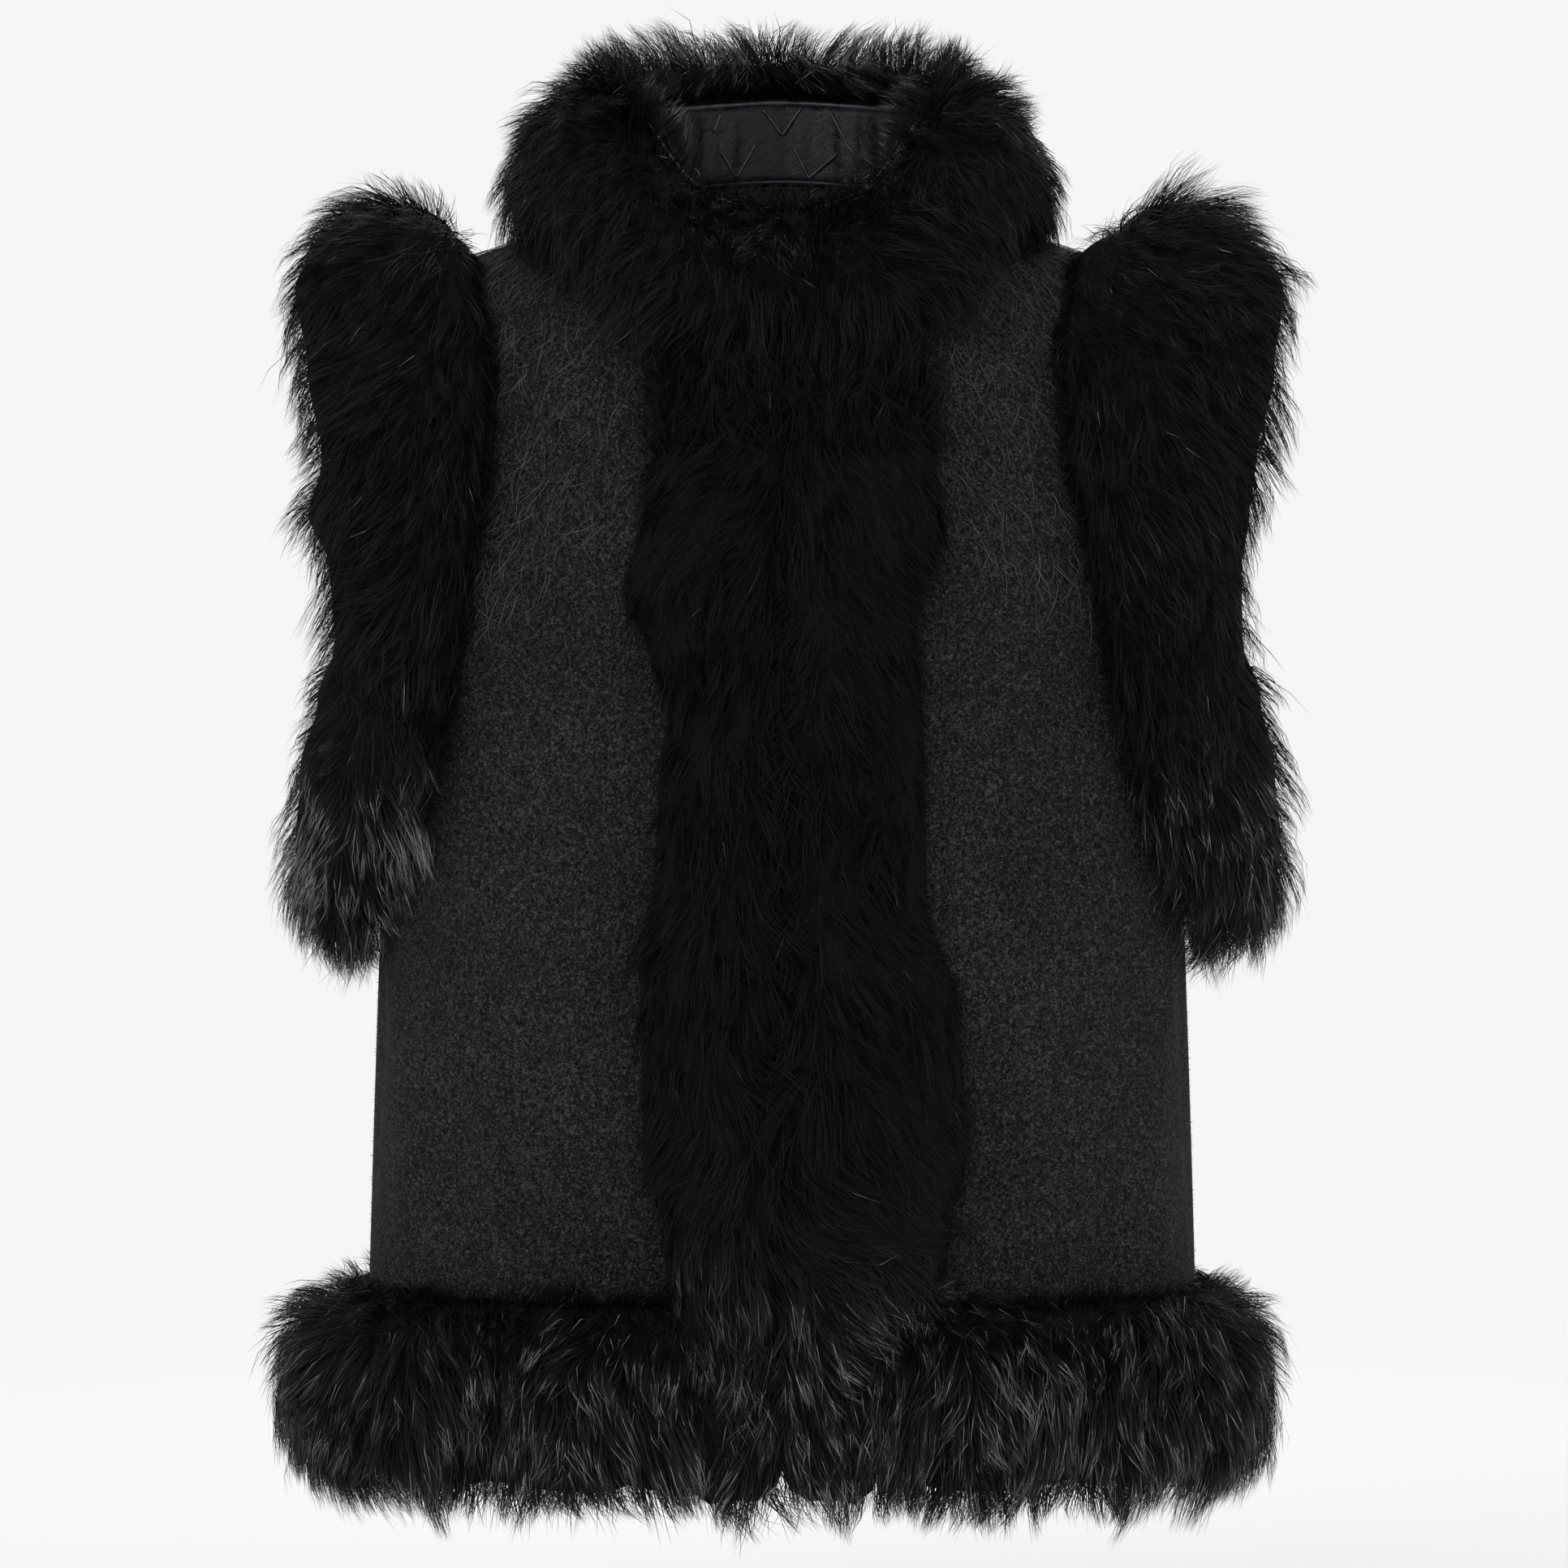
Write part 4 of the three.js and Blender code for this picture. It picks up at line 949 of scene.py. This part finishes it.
# The strip narrows at its foot: by height over the hair's lowest place, the share of it that is kept
STRIP_FOOT = [(3, 0.45), (9, 0.8), (20, 0.95), (27, 1)]
# The strip's outer edge on the cloth, by height: its distance from the centre line
STRIP_REACH = {
    "right": [
        (-600, 64), (-560, 66), (-515, 77), (-420, 79), (-350, 70), (-275, 63),
        (-240, 74), (-205, 88), (-160, 77), (-95, 67), (-40, 66),
    ],
    "left": [
        (-600, 88), (-560, 94), (-515, 104), (-440, 98), (-375, 80), (-300, 79),
        (-220, 75), (-170, 90), (-120, 84), (-70, 80), (-40, 82),
    ],
}
# The way the hair sweeps, by height: how far it leans outwards from straight down
STRIP_SWEEP = {
    "right": [(-700, 0.1), (-560, -0.1), (-430, 0.25), (-300, 0.0), (-190, 0.75), (-60, 0.35)],
    "left": [(-700, 0.25), (-590, 0.8), (-480, 0.45), (-400, 0.7), (-280, 0.1), (-150, 0.7), (-60, 0.3)],
}


def from_table(rows, z):
    """A table's columns at each height in its first one, eased between its rows."""
    heights, *columns = np.array(rows, float).T
    i = np.clip(np.searchsorted(heights, z) - 1, 0, len(rows) - 2)
    share = smoothstep(z, heights[i], heights[i + 1])
    return [mix(values[i], values[i + 1], share) for values in columns]


def strip_sections(side):
    """Coat and hide of one front strip, from its foot up to the collar: a flat crown over the hide."""
    inner = FRONT_EDGE_X - SEAM_GAP
    foot_z = np.linspace(HAIR_BOTTOM_Z + STRIP_FOOT[0][0], HEM_LIP_Z - 5, STRIP_ROWS["foot"])
    keep = np.interp(foot_z - HAIR_BOTTOM_Z, *zip(*STRIP_FOOT))
    levels = np.linspace(HEM_LIP_Z - CHEST_Z + 4, STRIP_TOP_LEVEL, STRIP_ROWS["body"])
    level = np.concatenate([np.full(len(foot_z), HEM_LEVEL), levels])
    lower = np.concatenate([foot_z - HEM_Z, np.zeros(len(levels))])
    keep = np.concatenate([keep, np.ones(len(levels))])[:, None]
    z = body(0, level)[:, 2] + lower
    widen = smoothstep(z, *STRIP_WIDENS)
    reach = mix(inner, from_table(STRIP_REACH[side], z)[0], widen)
    edge = smoothstep(-level, -STRIP_TOP_LEVEL - 2, STRIP_TOP_EASE - STRIP_TOP_LEVEL)
    swell = STRIP_TUFT["least"] + STRIP_TUFT["deep"] * tuft(-z, STRIP_TUFT[side], STRIP_TUFT["phase"])
    depth = (STRIP_DEPTH + swell) * mix(STRIP_END_DEPTH, 1, np.sqrt(edge))
    wide = mix(STRIP_CROWN["wide"], reach, widen)
    across = np.linspace(0, 1, STRIP_ROWS["across"]) ** 0.9
    x = STRIP_LAP + (reach - STRIP_LAP)[:, None] * across
    valley = 1 - STRIP_VALLEY["deep"] * (1 - np.minimum(x / STRIP_VALLEY["half_width"], 1)) ** 2
    share = np.clip(x / wide[:, None], 0, 1)
    crown = (1 - share ** STRIP_CROWN["square"]) ** STRIP_CROWN["round"]
    out = np.maximum(depth[:, None] * valley * crown, LIE_OFF)

    def place(x, out):
        shrunk_x = mix(inner * 0.5, x, keep)
        shrunk_out = mix((depth * STRIP_END_DEPTH)[:, None], out, keep)
        rows = np.broadcast_to(level[:, None], shrunk_x.shape)
        found = off_body(girth_at(shrunk_x, rows), rows, shrunk_out)
        found[..., 2] += lower[:, None]
        return found

    hide_x = np.minimum(x, inner)
    hide_x[:, -1] = x[:, -1]
    return place(x, out), place(hide_x, np.where(x < inner, -CLOTH_THICK, LIE_OFF))


def strip_flow(v, p, along, across, sweep):
    """Downwards, leaning outwards as the table says, and across the centre line beside it."""
    lean = from_table(sweep, p[:, 2])[0] + 0.45 * waves(p, 55, 9)
    return towards(np.where(v < 0.14, lean - 0.7, lean), -1, along, across)


for number, side in enumerate(("right", "left")):
    coat, hide = strip_sections(side)
    fur_piece(f"front_fur_{side}", side, coat, hide, 6.0, [
        {
            "count": 12400, "seed": 21 + number, "curl": 0.75, "droop": 0.15,
            "flow": lambda *places: strip_flow(*places, STRIP_SWEEP[side]),
            "length": lambda v, p: mix(38, 33, v),
            "lift": lambda v, p: mix(24, 12, v),
            "tone": lambda v, p: mix(0.06, 0.76, smoothstep(-p[:, 2], 420, 640)),
        },
        {
            "count": 900, "seed": 23 + number, "sunk": 3, "length": 16, "lift": 14, "droop": 0.15,
            "tone": 0.25, "flow": lambda v, p, along, across: (-0.5, 1),
            "where": lambda u, v: (v > 0.93) & (u > 0.16),
        },
        {
            "count": 1500, "seed": 25 + number, "sunk": 4, "length": 26, "lift": 40, "droop": 0.1,
            "tone": 0.25, "flow": lambda v, p, along, across: (1, 0.3 * waves(p, 20, 3)),
            "where": lambda u, v: u > 0.955,
        },
    ], first=0.35)


# Hem fur: four strips hang from the cloth's lower edge, divided at the fronts, the side seams and the
# centre back. Their hair bulges out and falls straight down in soft tufts.
HEM_FUR_DEPTH = {"right": 54, "left": 46}
HIDE_BOTTOM_Z = -690
# The hair's outline: from the lip and then from the foot, the rise and the share of the depth
HEM_HAIR = {
    "lip": [(0, 0.22), (-7, 0.52)],
    "foot": [(95, 0.8), (72, 0.97), (48, 1), (24, 0.88), (7, 0.68), (0, 0.45), (4, 0.22)],
}
HEM_TUFT = {"turn": 21, "phase": 0.2, "deep": 0.08, "down": 6, "foot": 5}
HIDE_TURN = {"drop": 12, "out": 3}
HEM_LIP_FOLD = 2
HEM_SEAM_TURN = 0.06
HEM_RINGS = 97
HEM_POINTS = 31


def rounded(controls, count):
    """A smooth curve through each row of controls, by the Catmull-Rom formula."""
    steps = controls.shape[-2] - 1
    at = np.linspace(0, steps, count)
    i = np.minimum(at.astype(int), steps - 1)
    t = (at - i)[:, None]
    before = 2 * controls[..., :1, :] - controls[..., 1:2, :]
    after = 2 * controls[..., -1:, :] - controls[..., -2:-1, :]
    padded = np.concatenate([before, controls, after], axis=-2)
    p0, p1, p2, p3 = (padded[..., i + k, :] for k in range(4))
    bend = (2 * p0 - 5 * p1 + 4 * p2 - p3) * t**2 + (3 * p1 - p0 - 3 * p2 + p3) * t**3
    return 0.5 * (2 * p1 + (p2 - p0) * t + bend)


def hem_sections(side, half):
    """Coat and hide: one outline, height against distance out, turned round the body."""
    start = float(girth_at(FRONT_EDGE_X, HEM_LEVEL))
    turns = {"front": (start, 90 - HEM_SEAM_TURN), "back": (90 + HEM_SEAM_TURN, 180 - HEM_SEAM_TURN)}
    girth = np.linspace(*turns[half], HEM_RINGS)
    along = body(girth, HEM_LEVEL)
    normal = unit(body_normal(girth, HEM_LEVEL) * np.array([1, 1, 0]))
    swell = tuft(girth, HEM_TUFT["turn"], HEM_TUFT["phase"])
    deep = HEM_FUR_DEPTH[side] * (1 - HEM_TUFT["deep"] + HEM_TUFT["deep"] * swell)
    base = {"foot": HAIR_BOTTOM_Z + HEM_TUFT["foot"] - HEM_TUFT["down"] * swell, "lip": HEM_LIP_Z}

    def place(outline):
        z, out = (np.stack([row[k] + 0 * girth for row in outline], 1) for k in (0, 1))
        found = along[:, None] + normal[:, None] * out[..., None]
        found[..., 2] = z
        return found

    top = (HEM_LIP_Z - HEM_LIP_FOLD, LIE_OFF)
    hair = [(base[end] + rise, deep * share) for end, rows in HEM_HAIR.items() for rise, share in rows]
    turned_edge = (HIDE_BOTTOM_Z - HIDE_TURN["drop"], HIDE_TURN["out"])
    hide_edge = (HIDE_BOTTOM_Z, -CLOTH_THICK)
    seam = HEM_Z - SEAM_GAP
    middle = (mix(HEM_Z, HIDE_BOTTOM_Z, 0.5), -CLOTH_THICK)
    coat = rounded(place([top, *hair, turned_edge, hide_edge]), HEM_POINTS)
    hide = [top, (seam, LIE_OFF), (seam, -CLOTH_THICK), middle, hide_edge]
    return coat, straight(place(hide), HEM_POINTS)


def hem_flow(v, p, along, across):
    """Down the outline, swept a little to one side and the other."""
    return 0.28 * waves(p, 48, 8), 1


def lip_hair(seed, lift, tone, sway, size):
    """Short hair along the edge on the cloth, which it covers, leaning to the sides in waves."""
    return {
        "count": 900, "seed": seed, "sunk": 3, "length": 15, "lift": lift, "droop": 0.1, "tone": tone,
        "flow": lambda v, p, along, across: (sway * waves(p, size, 4), -1),
        "where": lambda u, v: v < 0.07,
    }


for number, (side, half) in enumerate(PANELS):
    coat, hide = hem_sections(side, half)
    fur_piece(f"hem_fur_{half}_{side}", side, coat, hide, 11.0, [
        {
            "count": 10200, "seed": 31 + number, "sunk": 11, "lock": 10, "flow": hem_flow, "curl": 0.65,
            "length": lambda v, p: mix(24, 40, smoothstep(v, 0.0, 0.25)) - 12 * smoothstep(v, 0.5, 0.7),
            "lift": lambda v, p: mix(72, 22, smoothstep(v, 0.04, 0.4)),
            "droop": lambda v, p: mix(0.1, 1.2, smoothstep(v, 0.2, 0.6)),
            "tone": lambda v, p: mix(0.57, 0.72, smoothstep(v, 0.05, 0.4)),
            "where": lambda u, v: 1 - 0.75 * (v > 0.82),
        },
        lip_hair(35 + number, lift=26, tone=0.4, sway=0.7, size=20),
    ])


# Armhole fur: on each side a front, a back and an underarm strip round the hole. The hide stands out
# sideways from the seam like a short sleeve, and the hair rolls back over the cloth round it.
ARMHOLE_CENTRE_Z = -180
ARMHOLE_SEAM_LENGTH = 470
ARMHOLE_TUFT = {"length": 130, "left": 0.1, "right": 0.35, "least": 0.88, "deep": 0.14}
ARMHOLE_LIP_THICK = 3.5
ARMHOLE_SEAM_CLEAR = 0.4
ARMHOLE_TIP = {"in": 6, "over": 4, "rise": 10}
ARMHOLE_PALE = {"right": 0.84, "left": 0.72}
SLEEVE = {"short": 34, "least": 20, "drop": 2.9, "middle_drop": 2.5}
# The outline by height: its end's distance from the centre line, its lip on the cloth and its depth
ARMHOLE_REACH = {
    "right": [
        (-345, 284, 42, 70), (-318, 281, 34, 62), (-282, 269, 24, 54), (-246, 257, 17, 50),
        (-200, 259, 14, 52), (-165, 271, 18, 54), (-130, 263, 24, 52), (-75, 272, 28, 54),
        (-30, 281, 22, 54), (-14, 268, 9, 49),
    ],
    "left": [
        (-345, 291, 42, 67), (-318, 287, 34, 62), (-282, 277, 22, 54), (-246, 264, 15, 50),
        (-200, 263, 13, 52), (-165, 267, 20, 54), (-130, 271, 31, 52), (-75, 282, 38, 54),
        (-30, 289, 30, 54), (-14, 270, 5, 48),
    ],
}


def armhole_sections(side, shares):
    """Coat and hide across the seam: a rolled outline from its lip on the cloth out to the sleeve's end.

    sideways runs out of the armhole, away leaves the hole in its own plane and onto lies on the cloth.
    """
    girth, level = armhole_seam(shares)
    at, normal = body(girth, level), body_normal(girth, level)

    def seam_at(share):
        wrapped = np.where(share > 1, share - 2, np.where(share < -1, share + 2, share))
        return body(*armhole_seam(wrapped))

    forward = unit(seam_at(shares + 0.01) - seam_at(shares - 0.01))
    sideways = unit(np.array([1.0, 0, 0]) - forward * forward[:, :1])
    away = unit(np.cross(forward, sideways))
    from_hole = at * np.array([0, 1, 1]) - np.array([0, 0, ARMHOLE_CENTRE_Z])
    away *= np.where(np.sum(away * from_hole, -1) < 0, -1, 1)[:, None]
    onto = unit(np.cross(forward, normal))
    inwards = (np.sum(onto * away, -1) < 0) & (np.sum(onto * sideways, -1) > -0.2)
    onto *= np.where(inwards, -1, 1)[:, None]
    onto *= np.where(np.sum(onto * sideways, -1) > 0.2, -1, 1)[:, None]
    reach, lip, depth = from_table(ARMHOLE_REACH[side], at[:, 2])
    reach = reach - at[:, 0]
    tufts = tuft(shares * ARMHOLE_SEAM_LENGTH, ARMHOLE_TUFT["length"], ARMHOLE_TUFT[side])
    swell = ARMHOLE_TUFT["least"] + ARMHOLE_TUFT["deep"] * tufts

    def place(out, up):
        return at + sideways * out[:, None] + away * np.reshape(up, (-1, 1))

    lip_end = at + onto * lip[:, None] + normal * LIE_OFF
    lip_top = lip_end + normal * ARMHOLE_LIP_THICK
    lip_away = np.sum((lip_top - at) * away, -1)
    hide_end = np.maximum(reach - SLEEVE["short"], SLEEVE["least"])
    crest = place(reach - ARMHOLE_TIP["in"], (depth + ARMHOLE_TIP["over"]) * swell)
    over_lip = lip_top + away * (depth * swell - lip_away)[:, None]
    curve = bezier(lip_top, over_lip, crest, place(reach, ARMHOLE_TIP["rise"]), 27)
    sleeve_end = place(hide_end, -SLEEVE["drop"])
    last = [place(reach - 5, 2), place(mix(hide_end, reach, 0.5), -SLEEVE["middle_drop"]), sleeve_end]
    coat = np.concatenate([lip_end[:, None], curve, straight(np.stack(last, 1), 5)], 1)
    seat = at - onto * ARMHOLE_SEAM_CLEAR
    inside = seat - away * CLOTH_THICK
    half_out = inside + sideways * (hide_end / 2)[:, None]
    lip_middle = lip_end - onto * (lip / 2)[:, None]
    hide = np.stack([lip_end, lip_middle, seat + normal * LIE_OFF, inside, half_out, sleeve_end], 1)
    return coat, straight(hide, coat.shape[1])


def hanging(v, p):
    """1 on the low side of the lobe below the hole, next to the cloth, to 0 elsewhere."""
    return smoothstep(-p[:, 2], 240, 320) * smoothstep(-v, -0.6, -0.3)


def armhole_flow(v, p, along, across):
    """Outwards and down at a slant, and nearly straight down over the cloth below the hole."""
    slant = mix(0.75, -0.2, hanging(v, p)) + 0.35 * waves(p, 45, 13)
    return towards(slant, -1, along, across)


UNDERARM_SHARE = 0.386
ARMHOLE_SEAM_SHARE = 0.0006
UPPER = (UNDERARM_SHARE + ARMHOLE_SEAM_SHARE, 1 - ARMHOLE_SEAM_SHARE)
ARMHOLE_STRIPS = [
    {"name": "underarm", "from": -UNDERARM_SHARE, "to": UNDERARM_SHARE, "rings": 81, "hairs": 7500},
    {"name": "front", "from": UPPER[0], "to": UPPER[1], "rings": 73, "hairs": 7100},
    {"name": "back", "from": -UPPER[0], "to": -UPPER[1], "rings": 73, "hairs": 6500},
]
for number, (side, strip) in enumerate([(s, t) for s in ("right", "left") for t in ARMHOLE_STRIPS]):
    coat, hide = armhole_sections(side, np.linspace(strip["from"], strip["to"], strip["rings"]))
    fur_piece(f"armhole_fur_{strip['name']}_{side}", side, coat, hide, 6.0, [
        {
            "count": strip["hairs"], "seed": 51 + number, "flow": armhole_flow, "curl": 0.55,
            "length": lambda v, p: mix(26, 35, smoothstep(v, 0.0, 0.25)) + 6 * hanging(v, p),
            "lift": lambda v, p: mix(26, 36, smoothstep(v, 0.0, 0.5)),
            "droop": lambda v, p: mix(0.35, 0.1, smoothstep(p[:, 2], -330, -120)),
            "tone": lambda v, p: mix(ARMHOLE_PALE[side], 0.5, smoothstep(p[:, 2], -318, -262)),
            "where": lambda u, v: 1 - 0.85 * (v > 0.86),
        },
        lip_hair(61 + number, lift=22, tone=0.35, sway=0.8, size=22),
    ])


# Studio: a round pale floor that fades into white surroundings, which light the vest softly from all
# sides, with three large lamps, and the camera straight in front, 3 m away, as for the photograph.
FLOOR_Z = -860
FLOOR_RADIUS = {"full": 700, "end": 2600}
FLOOR_RINGS = 14
FLOOR_TURNS = 61
CAMERA_DISTANCE = 3.0
CAMERA_HEIGHT = -0.313
MM_PER_PIXEL = 0.47
PHOTO_PIXELS = 1932
WORLD_LIGHT = 0.92
# Lamps: place, target, size and power
LAMPS = {
    "key": ((-1.7, -2.4, 1.5), (0, 0, -0.3), (1.8, 1.8), 30),
    "fill": ((1.9, -2.2, 0.4), (0, 0, -0.35), (1.6, 2.0), 14),
    "back": ((0.4, 2.2, 1.5), (0, 0, -0.2), (2.0, 1.2), 14),
}


def round_floor():
    """A flat disc of rings, whose paper turns clear by the distance, from the full radius to the end."""
    radius = np.linspace(0, FLOOR_RADIUS["end"], FLOOR_RINGS)[:, None]
    turn = np.linspace(0, 2 * np.pi, FLOOR_TURNS)
    grid = np.stack([radius * np.cos(turn), radius * np.sin(turn), radius * 0 * turn], -1)
    made, shader = new_material("floor", (0.86, 0.86, 0.86), 0.95, 0.05)
    distance, fade = (add_node(made, kind) for kind in ("ShaderNodeVectorMath", "ShaderNodeMapRange"))
    distance.operation = "LENGTH"
    feed(made, distance.inputs[0], add_node(made, "ShaderNodeTexCoord").outputs["Object"])
    fade.interpolation_type = "SMOOTHSTEP"
    radii = {"From Min": FLOOR_RADIUS["full"] / 1000, "From Max": FLOOR_RADIUS["end"] / 1000}
    for name, value in {**radii, "To Min": 1, "To Max": 0, "Value": distance.outputs["Value"]}.items():
        feed(made, fade.inputs[name], value)
    feed(made, shader.inputs["Alpha"], fade.outputs["Result"])
    quads = cells(np.arange(FLOOR_RINGS * FLOOR_TURNS).reshape(FLOOR_RINGS, FLOOR_TURNS), back=True)
    paper = add_mesh("floor", "left", grid.reshape(-1, 3), triangles(quads), [made])
    paper.location.z = FLOOR_Z / 1000
    return paper


round_floor()

for name, (place, target, size, power) in LAMPS.items():
    light = bpy.data.lights.new(name, "AREA")
    light.shape = "RECTANGLE"
    light.size, light.size_y = size
    light.energy = power
    holder = bpy.data.objects.new(name, light)
    holder.location = place
    holder.rotation_euler = (Vector(target) - Vector(place)).to_track_quat("-Z", "Y").to_euler()
    bpy.context.scene.collection.objects.link(holder)

world = bpy.data.worlds.new("studio")
world.use_nodes = True
world.node_tree.nodes["Background"].inputs["Color"].default_value = (1, 1, 1, 1)
world.node_tree.nodes["Background"].inputs["Strength"].default_value = WORLD_LIGHT
bpy.context.scene.world = world
# Tones are shown as they are, so that white paper comes out white
bpy.context.scene.view_settings.view_transform = "Standard"

camera_data = bpy.data.cameras.new("camera")
camera_data.lens = camera_data.sensor_width * CAMERA_DISTANCE * 1000 / (PHOTO_PIXELS * MM_PER_PIXEL)
camera = bpy.data.objects.new("camera", camera_data)
camera.location = (0.001, -CAMERA_DISTANCE, CAMERA_HEIGHT)
camera.rotation_euler = (np.pi / 2, 0, 0)
bpy.context.scene.collection.objects.link(camera)
bpy.context.scene.camera = camera
